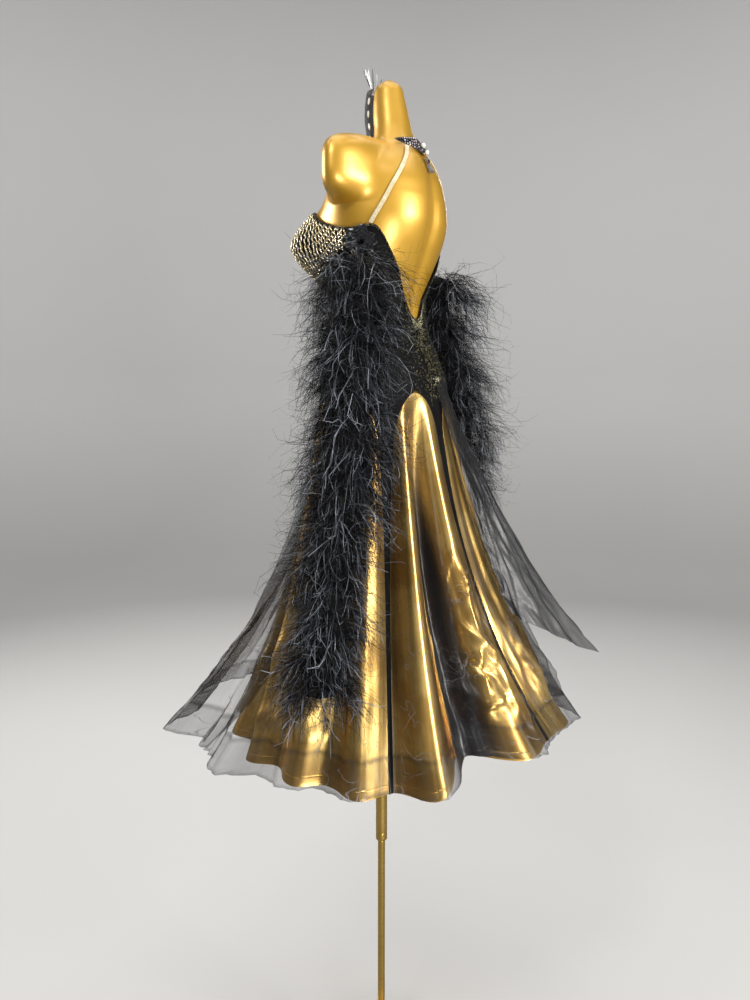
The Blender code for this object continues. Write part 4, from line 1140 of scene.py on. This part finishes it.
def makeChains():
    # strings of long beads that hang down each cup, with a small round bead between them
    clear = bodice["clear"] + bodice["cloth"] / 2

    def spotAt(bearing, height):
        return formSpot(bearing, height, clear + chains["out"])

    side, half = bodice["cupSide"] - chains["overlap"], chains["middleGap"]
    for label, start, end in (("Left", side, 180.0 - half), ("Right", 180.0 + half, 360.0 - side)):
        longs, smalls = [], []
        for i in range(chains["strings"]):
            bearing = mixed(start, end, (i + 0.5) / chains["strings"])
            height, j = bodiceTop(bearing) - 0.006, 0
            while height > cupBottom(bearing) - 0.002:
                here, along, up, out = frameAt(spotAt, bearing, height)
                lean = math.radians(chains["tilt"] * (1 if (i + j) % 2 else -1) + random.uniform(-5, 5))
                axis = up * math.cos(lean) + along * math.sin(lean)
                across = along * math.cos(lean) - up * math.sin(lean)
                size = random.uniform(0.9, 1.1)
                middle = here + out * random.uniform(-0.0004, 0.0008)
                longs.append((middle, across * (chains["radius"] * size), out * (chains["radius"] * size),
                              axis * (chains["halfLength"] * size)))
                reach = chains["small"] * random.uniform(0.85, 1.15)
                lower = here - up * (chains["pitch"] * 0.52) + along * random.uniform(-0.0010, 0.0010)
                smalls.append((lower, along * reach, up * reach, out * reach))
                height -= chains["pitch"] * max(0.25, up.z)
                j += 1
        joinCopies("chainBeads" + label, longBead(), longs, chainBeads, "bead_chain",
                   ("cup_" + label.lower(),)).data.shade_smooth()
        joinCopies("chainDots" + label, roundBead(), smalls, chainBeads, "bead_chain")


edging = {"radius": 0.0021, "steps": 110, "bead": 0.0012, "beads": 340, "doubled": (60.0, 110.0)}


def edgeAlong(t):
    bearing = mixed(-180.0, 180.0, t)
    return formSpot(bearing, bodiceTop(bearing) + 0.0004, bodice["clear"] + bodice["cloth"] / 2)


def makeEdging():
    # a cord sewn along the upper edge, with small beads over it, in two full rows at the rosettes
    for label, start in (("Left", 0.5), ("Right", 0.0)):
        addTube("edgeCord" + label, 8, edging["steps"], lambda t: edgeAlong(start + 0.5 * t),
                edging["radius"], blackKnit, "black_cloth")
    clear = bodice["clear"] + bodice["cloth"] / 2 + edging["radius"]

    def spotAt(turn, height):
        return formSpot(turn, height, clear)

    places = []
    first, last = edging["doubled"]
    for i in range(edging["beads"]):
        bearing = mixed(-180.0, 180.0, (i + 0.5) / edging["beads"])
        for row in range(2 if first < foldBearing(bearing) < last or i % 2 else 1):
            height = bodiceTop(bearing) + 0.001 - 0.0026 * row + random.uniform(-0.0006, 0.0006)
            here, along, up, out = frameAt(spotAt, bearing + random.uniform(-0.2, 0.2), height)
            size = edging["bead"] * random.uniform(0.7, 1.2)
            places.append((here, along * size, up * size, out * size))
    joinCopies("edgeBeads", roundBead(), places, laceBeads, "bead_chain")


lace = {
    "count": 1500, "spread": 0.48, "reach": 38.0, "widest": 60.0, "deep": 0.19, "low": 1.500,
    "bare": -0.22, "size": (0.0007, 0.0015), "flat": 0.8,
    "lines": 46, "lineTop": 1.668, "linePitch": 0.0034, "lineBearings": (1.6, 8.5),
    "lineSize": (0.0010, 0.0014),
}


def yokeSpot(bearing, height):
    return formSpot(bearing, height, skirt["clear"] + 0.0030)


def makeLace():
    # small beads sewn closely round the low back, thinner outwards and downwards
    places = []
    while len(places) < lace["count"]:
        bearing = random.gauss(0.0, lace["spread"]) * lace["reach"]
        height = bodiceTop(bearing) - 0.005 - lace["deep"] * random.random() ** 1.5
        crowd = noise.noise(Vector((bearing * 0.16, height * 60.0, 5.0)))
        if height < lace["low"] or abs(bearing) > lace["widest"] or crowd < lace["bare"]:
            continue
        here, along, up, out = frameAt(yokeSpot, bearing, height)
        size = random.uniform(*lace["size"])
        places.append((here, along * size, up * size, out * size * lace["flat"]))
    for side in (-1.0, 1.0):
        for i in range(lace["lines"]):
            height = lace["lineTop"] - lace["linePitch"] * i
            bearing = side * mixed(*lace["lineBearings"], (i / lace["lines"]) ** 0.8)
            here, along, up, out = frameAt(yokeSpot if height > skirt["hip"] else gownSpot, bearing, height)
            size = random.uniform(*lace["lineSize"])
            places.append((here, along * size, up * size, out * size))
    joinCopies("laceBeads", roundBead(), places, laceBeads, "bead_chain")


def gownSpot(bearing, height):
    return skirtSpot(bearing, height, 0.0028)


makeBodice()
makeChains()
makeEdging()
makeLace()
print("bodice made")


# The neck

neck = {
    "halter": (          # height, half width, clearance from the form
        (1.880, 0.048, 0.0045), (1.925, 0.044, 0.0050), (1.960, 0.040, 0.0060),
        (2.000, 0.034, 0.0080), (2.010, 0.033, 0.0088), (2.018, 0.032, 0.0092),
        (2.035, 0.030, 0.0084), (2.070, 0.027, 0.0098), (2.105, 0.024, 0.0100),
        (2.134, 0.022, 0.0080),
    ),
    "cloth": 0.0014, "bulge": 0.012, "sink": 0.0045, "footColumns": 4, "cupColumns": 14,
    "pearlPitch": 0.0248, "pearlTop": 2.112, "pearlHalf": 0.0070, "pearlRadius": 0.0024,
    "spikes": 7, "spikeLength": 0.040, "spikeSpread": 78.0, "spikeShorter": 0.25,
    "spikeForward": 0.06, "spikeRadius": 0.0013, "fanFoot": 0.006, "paleSpikes": (1, 2, 4, 6),
    "fanBeads": 16, "fanBead": 0.0018,
    "collar": (          # bearing, height of its middle, band height, how upright it stands off
        (0.0, 2.0105, 0.0240, 0.60), (15.0, 2.0155, 0.0230, 0.60), (30.0, 2.0182, 0.0185, 0.55),
        (45.0, 2.0205, 0.0115, 0.45), (56.0, 2.0228, 0.0050, 0.30), (64.0, 2.0245, 0.0016, 0.20),
    ),
    "collarEnd": 64.0,
    "collarClear": 0.0040, "collarWall": 0.0026, "stone": 0.0021,
}


def halterSpot(u, v, out=0.0):
    rows = neck["halter"]
    footHalf = (180.0 - bodice["cupSide"]) * neck["footColumns"] / neck["cupColumns"]
    level = mixed(rows[-1][0], rows[0][0], v)
    halfWidth, clear = readSmooth(rows, level)
    half = math.degrees(halfWidth / (formRadius(180.0, level) + clear))
    half = mixed(half, footHalf, blendIn(v, 0.86, 1.0))
    bearing = 180.0 + half * (2.0 * u - 1.0)
    height = mixed(level, bodiceTop(bearing), blendIn(v, 0.80, 1.0))
    gather = 0.0008 * math.sin(math.pi * 9.0 * u) * blendIn(v, 0.55, 1.0)
    middle = 1.0 - (2.0 * u - 1.0) ** 2
    gather += (neck["bulge"] * middle - neck["sink"] * (1.0 - middle)) * (1.0 - blendIn(v, 0.30, 0.75))
    return formSpot(bearing, height, clear + neck["cloth"] / 2 + gather + out)


def makeHalter():
    addSheet("halterMesh", 30, 72, halterSpot, 0.0009, blackMesh, "halter_panel", "black_mesh",
             held="hung", smoother=0)
    places = []
    steps = 9
    for side in (0.02, 0.98):
        for i in range(steps):
            level = neck["pearlTop"] - neck["pearlPitch"] * i
            v = (neck["halter"][-1][0] - level) / (neck["halter"][-1][0] - neck["halter"][0][0])
            here = halterSpot(side, v, 0.0020)
            up = (halterSpot(side, v - 0.02, 0.0020) - halterSpot(side, v + 0.02, 0.0020)).normalized()
            across = (halterSpot(side + 0.02, v, 0.0020) - here).normalized()
            out = across.cross(up).normalized()
            thick = neck["pearlRadius"]
            places.append((here, across * thick, out * thick, up * neck["pearlHalf"]))
    joinCopies("halterPearls", longBead(8, 6), places, pearls, "white_beads").data.shade_smooth()


def makeFan():
    level, halfWidth, clear = neck["halter"][-1]
    middle = formMiddle(level)
    radius = formRadius(180.0, level) + clear + neck["cloth"]
    half = math.degrees(halfWidth / radius)
    paleOnes, darkOnes = [], []
    for k in range(neck["spikes"]):
        share = 2.0 * k / (neck["spikes"] - 1) - 1.0
        lean = math.radians(neck["spikeSpread"] / 2 * share)
        length = (neck["spikeLength"] * (1.0 - neck["spikeShorter"] * abs(share)) + neck["fanFoot"]) / 2
        foot = roundSpot(180.0 + half * share * 0.92, radius, level + 0.001, middle)
        axis = Vector((-math.sin(lean), -neck["spikeForward"], math.cos(lean))).normalized()
        side = axis.cross(Vector((0, 1, 0))).normalized()
        across = axis.cross(side)
        group = paleOnes if k in neck["paleSpikes"] else darkOnes
        thick = neck["spikeRadius"]
        group.append((foot + axis * length, side * thick, across * thick, axis * length))
    joinCopies("neckSpikes", longBead(8, 7), paleOnes, silverRods, "white_beads",
               ("neck_fan",)).data.shade_smooth()
    joinCopies("neckDarkSpikes", longBead(8, 7), darkOnes, darkStones, "white_beads").data.shade_smooth()
    places = []
    for k in range(neck["fanBeads"]):
        bearing = 180.0 + half * (2.0 * (k + 0.5) / neck["fanBeads"] - 1.0)
        here = roundSpot(bearing, radius, level + 0.0012, middle)
        places.append(evenPlace(here, neck["fanBead"]))
    joinCopies("fanBeads", roundBead(), places, pearls, "white_beads")


def collarSpot(bearing, height, out=0.0):
    level, tall, upright = readSmooth(neck["collar"], foldBearing(bearing))
    reach = formRadius(bearing, height)
    reach += upright * max(0.0, formRadius(bearing, level - tall / 2) - reach)
    return roundSpot(bearing, reach + neck["collarClear"] + out, height, formMiddle(height))


def makeCollar():
    def place(u, v):
        turn, bearing = 2.0 * math.pi * v, neck["collarEnd"] * (2.0 * u - 1.0)
        level, tall, _ = readSmooth(neck["collar"], foldBearing(bearing))
        point = min(1.0, 14.0 * min(u, 1.0 - u))
        height = level - 0.5 * tall * point * math.cos(turn)
        swell = 0.5 * neck["collarWall"] * (0.3 + 0.7 * point) * (1.0 - point * math.sin(turn))
        return collarSpot(bearing, height, swell)

    mesh, _ = placeGrid(84, 12, place)
    closeMesh("collarBand", mesh, blackKnit, "stone_band", ("collar",))
    bright, dark, smoky = [], [], []
    pitch = 2.0 * neck["stone"] + 0.0001
    bearing = -neck["collarEnd"] + 5.0
    while bearing < neck["collarEnd"] - 5.0:
        level, tall, _ = readSmooth(neck["collar"], foldBearing(bearing))
        rows = max(1, int(tall / pitch))
        for row in range(rows):
            height = level + tall * ((row + 0.5) / rows - 0.5)
            lift = neck["collarWall"] * math.sqrt(1.0 - (2.0 * (row + 0.5) / rows - 1.0) ** 2 * 0.8)
            here, along, up, out = frameAt(lambda b, z: collarSpot(b, z, lift - 0.0003), bearing, height)
            size = neck["stone"] * random.uniform(0.88, 1.06)
            group = random.choice((bright, bright, smoky, dark) if rows > 2 else (smoky, dark, dark))
            group.append((here, along * size, up * size, out * size * 1.2))
        reach = formRadius(bearing, level) + neck["collarClear"] + neck["collarWall"]
        bearing += math.degrees(pitch / reach)
    joinCopies("collarStones", cutStone(), bright, stones, "stone_band")
    joinCopies("collarSmokyStones", cutStone(), smoky, smokyStones, "stone_band")
    joinCopies("collarDarkStones", cutStone(), dark, darkStones, "stone_band")


drop = {
    "parts": ((2.016, 0.0050, 0.0130), (2.0015, 0.0042, 0.0105)), "gemHeight": 1.986,
    "gemSize": 0.0068, "gemOut": 0.0090, "gems": 12, "smallGem": 0.0019, "bigGem": 0.0044,
    "tasselTop": 1.981, "tasselLow": 1.962, "threads": 34, "threadRadius": 0.0006,
}


def makeDrop():
    # two pearls, a cluster of dark stones and a short tassel at the collar's low back
    places = []
    for height, size, clear in drop["parts"]:
        here = formSpot(0.0, height, clear + size)
        places.append(evenPlace(here, size))
    joinCopies("dropPearls", longBead(14, 9), places, pearls, "white_beads").data.shade_smooth()
    cluster = []
    gems = drop["gems"]
    for k in range(gems + 1):
        # a ring of small stones, and last a big one in its middle
        turn, ring = 2.0 * math.pi * k / gems, drop["gemSize"] * (0.78 if k < gems else 0.0)
        clear = drop["gemOut"] * (0.72 if k < gems else 1.0)
        here, along, up, out = frameAt(lambda b, z: formSpot(b, z, clear), 0.0,
                                       drop["gemHeight"] + ring * math.sin(turn))
        here = here + along * (ring * math.cos(turn))
        size = drop["smallGem"] if k < gems else drop["bigGem"]
        cluster.append((here, along * size, up * size, out * size))
    joinCopies("dropStones", cutStone(), cluster, darkStones, "stone_band")
    threads, count, thick = [], drop["threads"], drop["threadRadius"]
    for k in range(count):
        turn = 2.4 * k
        high = formSpot(0.0, drop["tasselTop"], 0.0060 + 0.0014 * math.sin(turn))
        high += Vector((0.0024 * math.cos(turn), 0.0, 0.0))
        low = formSpot(0.0, drop["tasselLow"] + random.uniform(-0.002, 0.002), 0.0046)
        low += Vector((0.0056 * math.cos(turn), 0.004 * (1.0 + math.sin(turn)), 0.0))
        half = (low - high) / 2
        side = half.cross(Vector((0, 1, 0))).normalized()
        threads.append((high + half, side * thick, half.cross(side).normalized() * thick, half))
    strand = longBead(5, 4)
    # painted highlight: the tassel threads are all painted a little lighter
    joinCopies("dropTassel", strand, threads, featherBlack, "feather",
               labels={"strandHighlight": np.full(count * len(strand.verts), 0.4)})


straps = {
    "path": (            # share of the way down, bearing, height, clearance from the form
        (0.00, 37.0, 2.0098, 0.0036), (0.16, 42.0, 1.9740, 0.0028), (0.35, 47.0, 1.9410, 0.0020),
        (0.60, 54.0, 1.9060, 0.0020), (0.80, 61.0, 1.8780, 0.0022), (1.00, 67.6, 1.8537, 0.0024),
    ),
    "width": 0.008, "thick": 0.0012,
}


def strapSpot(u, v, sign):
    bearing, height, clear = readSmooth(straps["path"], v)
    clear += straps["thick"] / 2
    ahead = readSmooth(straps["path"], min(1.0, v + 0.02))[:2]
    behind = readSmooth(straps["path"], max(0.0, v - 0.02))[:2]
    along = (formSpot(*ahead, clear) - formSpot(*behind, clear)).normalized()
    here, _, _, out = frameAt(lambda b, z: formSpot(b, z, clear), bearing, height)
    across = along.cross(out).normalized()
    spot = here + across * (straps["width"] * (u - 0.5))
    return mirrored(spot, sign)


def makeStraps():
    for label, sign in (("Left", 1.0), ("Right", -1.0)):
        addSheet("strap" + label, 4, 36, lambda u, v: strapSpot(u, v, sign), straps["thick"],
                 paleElastic, "strap_" + label.lower(), "pale_elastic", held=None)


makeHalter()
makeFan()
makeCollar()
makeDrop()
makeStraps()
print("neck made")


# Rosettes and boas

rosette = {
    "bearing": 75.0, "height": 1.822, "depth": 0.0156, "half": (0.037, 0.031),
    "turns": 3.3, "waves": 8.0, "gap": 0.0006,
}


def rosetteFrame():
    clear = bodice["clear"] + bodice["cloth"]
    here = formSpot(rosette["bearing"], rosette["height"], clear)
    along = (formSpot(rosette["bearing"] + 4.0, rosette["height"], clear) - here).normalized()
    up = (formSpot(rosette["bearing"], rosette["height"] + 0.01, clear) - here).normalized()
    out = up.cross(along).normalized()
    if out.x < 0.0:
        out = -out
    return here + out * (rosette["gap"] / 2), along, along.cross(out), out


def makeRosettes():
    seat, along, up, out = rosetteFrame()

    def place(u, v, sign):
        # a gathered strip that winds outwards, its outer edge free and frilled
        turn = 2.0 * math.pi * rosette["turns"] * u
        foot = mixed(0.06, 0.56, u ** 0.9)
        flare = v * mixed(0.20, 0.40, u)
        frill = v * math.sin(rosette["waves"] * turn + 1.3 * math.sin(2.0 * turn))
        reach = foot + flare + 0.07 * frill
        rise = mixed(0.20, 0.06, u) + v * mixed(0.82, 0.28, u)
        rise += 0.16 * v * math.cos(1.31 * rosette["waves"] * turn + 0.8) * mixed(0.5, 1.0, u)
        wide, tall = rosette["half"]
        spot = seat + along * (wide * reach * math.cos(turn)) + up * (tall * reach * math.sin(turn))
        return mirrored(spot + out * (rosette["depth"] * max(0.05, rise)), sign)

    for label, sign in (("Left", 1.0), ("Right", -1.0)):
        addSheet("rosette" + label, 330, 5, lambda u, v: place(u, v, sign), 0.0005, blackSatin,
                 "rosette_" + label.lower(), "black_cloth", held="gathered",
                 smoother=0)


boa = {
    "path": (            # height, left x, left y, right x, right y
        (1.7966, 0.1564, 0.040, -0.1562, 0.032), (1.740, 0.174, 0.044, -0.176, 0.024),
        (1.680, 0.188, 0.050, -0.190, 0.026), (1.600, 0.207, 0.058, -0.209, 0.036),
        (1.500, 0.234, 0.074, -0.237, 0.044), (1.400, 0.265, 0.086, -0.270, 0.032),
        (1.300, 0.296, 0.092, -0.303, 0.016), (1.200, 0.326, 0.098, -0.336, 0.002),
        (1.100, 0.352, 0.104, -0.362, -0.010), (1.020, 0.371, 0.107, -0.380, -0.018),
    ),
    "core": 0.040, "clumps": 415, "strands": 38, "bends": 5, "root": 0.016, "length": 0.138,
    "near": 0.50, "quill": 0.34, "width": 0.0011, "crown": 0.05, "fuller": 0.45, "bottom": 0.930,
    "rise": (-20.0, 28.0), "rootLean": 34.0, "startSpread": 32.0,      # angles in degrees
    "fan": 42.0, "droop": -58.0, "droopSpread": 30.0, "curl": (30.0, 115.0), "sway": 74.0,
    "wisps": 0.05, "wispLonger": 1.15, "wispLift": 0.5,
    "tableTurn": 4.0, "tableRise": 0.0125,
}


def boaCentre(share, column):
    top, low = boa["path"][0][0], boa["path"][-1][0]
    height = mixed(top, low, share)
    x, y = readSmooth(boa["path"][::-1], height)[column:column + 2]
    return Vector((x, y, height))


def clearTable():
    # how far out the gown reaches at each bearing and height, so that no strand goes into it
    bearings = np.arange(0.0, 361.0, boa["tableTurn"])
    heights = np.arange(0.80, 1.91, boa["tableRise"])
    table = np.zeros((len(bearings), len(heights)))
    for i, bearing in enumerate(bearings):
        stand = readSmooth(skirt["reach"], foldBearing(bearing))[1]
        for j, height in enumerate(heights):
            share = min(1.0, max(0.0, dropShare(height)))
            trim = 0.010 if height > 1.74 else 0.004
            table[i, j] = skirtRadius(bearing, height) + trim + 0.010 * share + 1.25 * stand * share ** 2.4
    return heights[0], table


def keepClear(spots, table, dice):
    # points inside the gown move straight out to its surface
    lowest, reach = table
    radius = np.hypot(spots[:, 0], spots[:, 1])
    turn = np.degrees(np.arctan2(spots[:, 0], spots[:, 1])) % 360.0
    i = turn / boa["tableTurn"]
    j = np.clip((spots[:, 2] - lowest) / boa["tableRise"], 0, reach.shape[1] - 1.001)
    i0, j0 = i.astype(int), j.astype(int)
    fi, fj = i - i0, j - j0
    limit = ((1 - fi) * (1 - fj) * reach[i0, j0] + fi * (1 - fj) * reach[i0 + 1, j0]
             + (1 - fi) * fj * reach[i0, j0 + 1] + fi * fj * reach[i0 + 1, j0 + 1])
    push = np.where(radius < limit, (limit + dice.uniform(0.0, 0.003, len(radius))) / radius, 1.0)
    spots[:, 0] *= push
    spots[:, 1] *= push
    return spots


def growStrands(column, dice):
    # the strands of one boa, clump by clump, as arrays of points, half widths and painted highlight
    clumps, strands, bends = boa["clumps"], boa["strands"], boa["bends"]
    order = np.arange(clumps)
    share = (order + dice.uniform(0.0, 1.0, clumps)) / clumps
    centres = np.array([boaCentre(s, column) for s in share])
    away = np.arctan2(centres[:, 1], centres[:, 0])
    turn = np.radians(137.5) * order + dice.uniform(-0.3, 0.3, clumps)
    top = share < boa["crown"]
    turn[top] = away[top] + dice.uniform(-2.0, 2.0, top.sum())
    free = np.clip(0.70 + 0.70 * np.cos(turn - away), 0.0, 1.0)
    length = boa["length"] * (boa["near"] + (1.0 - boa["near"]) * free) * dice.uniform(0.82, 1.10, clumps)
    length *= 0.94 + 0.12 * np.sin(share * 31.0 + 1.7 * np.sin(turn))
    # fuller towards the back beside the panel, above the side godet
    high = np.clip((centres[:, 2] - 1.30) / 0.12, 0.0, 1.0)
    length *= 1.0 + boa["fuller"] * high * np.clip(np.sin(turn), 0.0, 1.0)
    pitch = np.radians(dice.uniform(*boa["rise"], clumps))

    def spread(values):
        return np.repeat(values, strands)

    count = clumps * strands
    rootAt = dice.uniform(0.0, 1.0, count) ** 0.8
    turn, pitch, length = spread(turn), spread(pitch), spread(length)
    quillPitch = pitch - np.radians(boa["rootLean"]) * rootAt
    quillRun = boa["quill"] * rootAt * length
    roots = spread(centres[:, 0]), spread(centres[:, 1]), spread(centres[:, 2])
    out = boa["root"] + quillRun * np.cos(quillPitch)
    spot = np.stack([roots[0] + out * np.cos(turn), roots[1] + out * np.sin(turn),
                     roots[2] + quillRun * np.sin(quillPitch)], axis=1)
    heading = turn + np.radians(dice.normal(0.0, boa["fan"], count))
    start = pitch + np.radians(dice.normal(0.0, boa["startSpread"], count))
    fall = np.radians(boa["droop"] + dice.normal(0.0, boa["droopSpread"], count))
    curl = np.radians(dice.normal(*boa["curl"], count))
    sway = np.radians(dice.normal(0.0, boa["sway"], count))
    run = length * (1.0 - 0.30 * rootAt) * dice.uniform(0.45, 1.0, count)
    wisp = dice.uniform(0.0, 1.0, count) < boa["wisps"]
    run[wisp] *= boa["wispLonger"]
    fall[wisp] += boa["wispLift"]
    path = [spot]
    for k in range(bends):
        t = (k + 0.5) / bends
        lean = start + (fall - start) * math.sin(math.pi / 2 * min(1.0, t / 0.75))
        lean = lean + curl * max(0.0, (t - 0.55) / 0.45) ** 2
        swing = heading + sway * t * t
        step = np.stack([np.cos(lean) * np.cos(swing), np.cos(lean) * np.sin(swing), np.sin(lean)], axis=1)
        path.append(path[-1] + step * (run / bends)[:, None])
    path = np.stack(path, axis=1)
    # no strand hangs below the boa's foot
    lowest = path[:, :, 2].min(axis=1)
    foot = boa["bottom"] + dice.uniform(0.0, 0.05, count)
    room = np.clip((path[:, 0, 2] - foot) / np.maximum(path[:, 0, 2] - lowest, 0.001), 0.15, 1.0)
    path[:, :, 2] = path[:, :1, 2] + (path[:, :, 2] - path[:, :1, 2]) * room[:, None]
    t = np.linspace(0.0, 1.0, bends + 1)
    half = boa["width"] / 2 * (0.30 + 0.70 * (1.0 - t) ** 0.7)
    aside = dice.normal(0.0, 1.0, (count, 1, 3))
    forward = np.gradient(path, axis=1)
    aside = np.cross(forward, aside)
    aside /= np.linalg.norm(aside, axis=2, keepdims=True) + 1e-9
    # painted highlight: a few strands, picked at random, are painted light, more so towards their ends, and
    # are made wider
    bright = dice.uniform(0.0, 1.0, (count, 1)) ** 8.0
    half = half[None, :] * (0.80 + 0.90 * bright)
    return path, aside * half[:, :, None], bright * (0.35 + 0.65 * t[None, :])


def makeBoas():
    table = clearTable()
    for label, column, seed in (("Left", 0, 11), ("Right", 2, 23)):
        dice = np.random.default_rng(seed)
        path, aside, light = growStrands(column, dice)
        count, rows = light.shape
        path = keepClear(path.reshape(-1, 3), table, dice).reshape(path.shape)
        cloud = np.stack([path - aside, path + aside], axis=2).reshape(-1, 3)
        first = (np.arange(count)[:, None] * rows + np.arange(rows - 1)[None, :]).ravel() * 2
        faces = np.stack([first, first + 1, first + 3, first + 2], axis=1)
        data = bpy.data.meshes.new("boaFeathers" + label)
        data.from_pydata(cloud, [], faces.tolist())
        # painted highlight amounts, per point, for the feather finish
        layer = data.attributes.new("strandHighlight", "FLOAT", "POINT")
        layer.data.foreach_set("value", np.repeat(light.ravel(), 2).astype(np.float32))
        data.materials.append(featherBlack)
        data.shade_smooth()
        keepPiece(bpy.data.objects.new("boaFeathers" + label, data), "feather", "boa_" + label.lower())
        makeBoaCore(label, column, table, dice)


def makeBoaCore(label, column, table, dice):
    # the dark body under the strands
    def place(u, v):
        turn = 2.0 * math.pi * u
        end = math.sqrt(max(0.0, 1.0 - (2.0 * v - 1.0) ** 24))
        lump = 1.0 + 0.35 * noise.noise(Vector((math.cos(turn), math.sin(turn), v * 16.0 + column)))
        radius = boa["core"] * lump * end
        return boaCentre(v, column) + Vector((math.cos(turn), math.sin(turn), 0.0)) * radius

    mesh, _ = placeGrid(20, 70, place)
    spots = keepClear(np.array([vert.co for vert in mesh.verts]), table, dice)
    for vert, spot in zip(mesh.verts, spots):
        vert.co = spot
    closeMesh("boaCore" + label, mesh, blackKnit, "feather")


makeRosettes()
makeBoas()
print("boas made")


# Stage, light and camera

view = {
    "place": (0.848 * 1.68, 0.530 * 1.68, 1.53), "azimuth": 122.0, "down": 7.3, "lens": 28.8,
    "aside": math.atan(7 / 800),
}


def makeCamera():
    turn = math.radians(view["azimuth"])
    back = Vector((math.sin(turn), -math.cos(turn), 0.0))
    side = Vector((-back.y, back.x, 0.0))
    ahead = -back * math.cos(view["aside"]) - side * math.sin(view["aside"])
    right = side * math.cos(view["aside"]) - back * math.sin(view["aside"])
    down = math.radians(view["down"])
    look = ahead * math.cos(down) + Vector((0, 0, -1)) * math.sin(down)
    up = right.cross(look)
    data = bpy.data.cameras.new("camera")
    data.lens = view["lens"]
    data.sensor_width = 36.0
    camera = bpy.data.objects.new("camera", data)
    matrix = Matrix((right, up, -look)).transposed().to_4x4()
    matrix.translation = Vector(view["place"])
    camera.matrix_world = matrix
    bpy.context.scene.collection.objects.link(camera)
    bpy.context.scene.camera = camera


stage = {
    "floorRadius": 4.6, "wallRadius": 7.2, "wallTop": 9.0, "color": (0.66, 0.655, 0.645, 1),
    "floorColor": (0.46, 0.455, 0.445, 1), "bounce": (0.16, 0.155, 0.15, 1), "world": 0.10,
    "lights": (          # name, place, size, watts, color
        ("key", (0.00, 3.30, 2.35), 1.00, 100.0, (1.0, 0.98, 0.94)),
        ("low", (1.95, 2.70, 0.65), 0.80, 66.0, (1.0, 0.98, 0.94)),
        ("side", (2.55, 0.45, 3.55), 0.50, 34.0, (1.0, 0.98, 0.95)),
        ("rim", (-2.9, -1.35, 2.8), 0.8, 50.0, (1.0, 1.0, 1.0)),
        ("front", (0.4, -3.4, 2.6), 1.2, 85.0, (1.0, 0.98, 0.95)),
        ("top", (0.0, 0.0, 6.5), 3.0, 60.0, (1.0, 1.0, 1.0)),
    ),
    "aim": (0.0, 0.0, 1.45),
    "washes": 6, "washRing": 2.6, "washHeight": 5.6, "washAim": 1.2, "washSize": 2.0, "washWatts": 90.0,
}


def addLamp(name, place, aim, size, watts, color):
    lamp = bpy.data.lights.new(name, "AREA")
    lamp.energy = watts
    lamp.size = size
    lamp.color = color
    holder = bpy.data.objects.new(name, lamp)
    holder.location = place
    holder.rotation_euler = (Vector(aim) - Vector(place)).to_track_quat("-Z", "Y").to_euler()
    bpy.context.scene.collection.objects.link(holder)


def makePalePaper():
    paper, tree, shader = newFinish("palePaper", {"Roughness": 0.85})
    place = addNode(tree, "TexCoord").outputs["Object"]
    tone = toneOver(tree, place, 0.8)
    height = addNode(tree, "SeparateXYZ", None, {0: place}).outputs[2]
    ground = mixColors(tree, stretchRange(tree, height, 0.0, 2.0), stage["floorColor"], stage["color"])
    shade = mixColors(tree, 0.015, ground, (0, 0, 0, 1))
    # pale to the eye, but darker in the gold's reflections, as with black flags round the set
    seen = addNode(tree, "LightPath").outputs["Is Camera Ray"]
    paintWith(tree, shader, mixColors(tree, seen, stage["bounce"], mixColors(tree, tone, ground, shade)))
    return paper


def makeFloor():
    # a round floor that curves up into the wall
    mesh = bmesh.new()
    floor, wall = stage["floorRadius"], stage["wallRadius"]
    profile = [mesh.verts.new((x, 0, z)) for x, z in (
        (0, 0), (floor, 0), (floor + 1.0, 0.15), (floor + 1.7, 0.75), (wall, 1.8), (wall, stage["wallTop"]))]
    edges = [mesh.edges.new(pair) for pair in zip(profile, profile[1:])]
    bmesh.ops.spin(mesh, geom=profile + edges, cent=(0, 0, 0), axis=(0, 0, 1), angle=2 * math.pi,
                   steps=64, use_merge=True)
    bmesh.ops.remove_doubles(mesh, verts=mesh.verts[:], dist=0.0001)
    ground = finishMesh("floor", mesh, makePalePaper())
    bpy.context.scene.collection.objects.link(ground)


def makeLights():
    for name, place, size, watts, color in stage["lights"]:
        addLamp(name, place, stage["aim"], size, watts, color)
    ring, wall = stage["washRing"], stage["wallRadius"]
    for k in range(stage["washes"]):
        turn = 2.0 * math.pi * k / stage["washes"]
        addLamp("wash%d" % (k + 1), (ring * math.cos(turn), ring * math.sin(turn), stage["washHeight"]),
                (wall * math.cos(turn), wall * math.sin(turn), stage["washAim"]), stage["washSize"],
                stage["washWatts"], (1.0, 1.0, 1.0))
    world = bpy.data.worlds.new("studio")
    world.use_nodes = True
    sky = world.node_tree.nodes["Background"].inputs
    sky["Color"].default_value = (0.9, 0.95, 1.0, 1)
    sky["Strength"].default_value = stage["world"]
    bpy.context.scene.world = world
    bpy.context.scene.view_settings.view_transform = "Standard"


makeFloor()
makeLights()
makeCamera()
print("stage made")
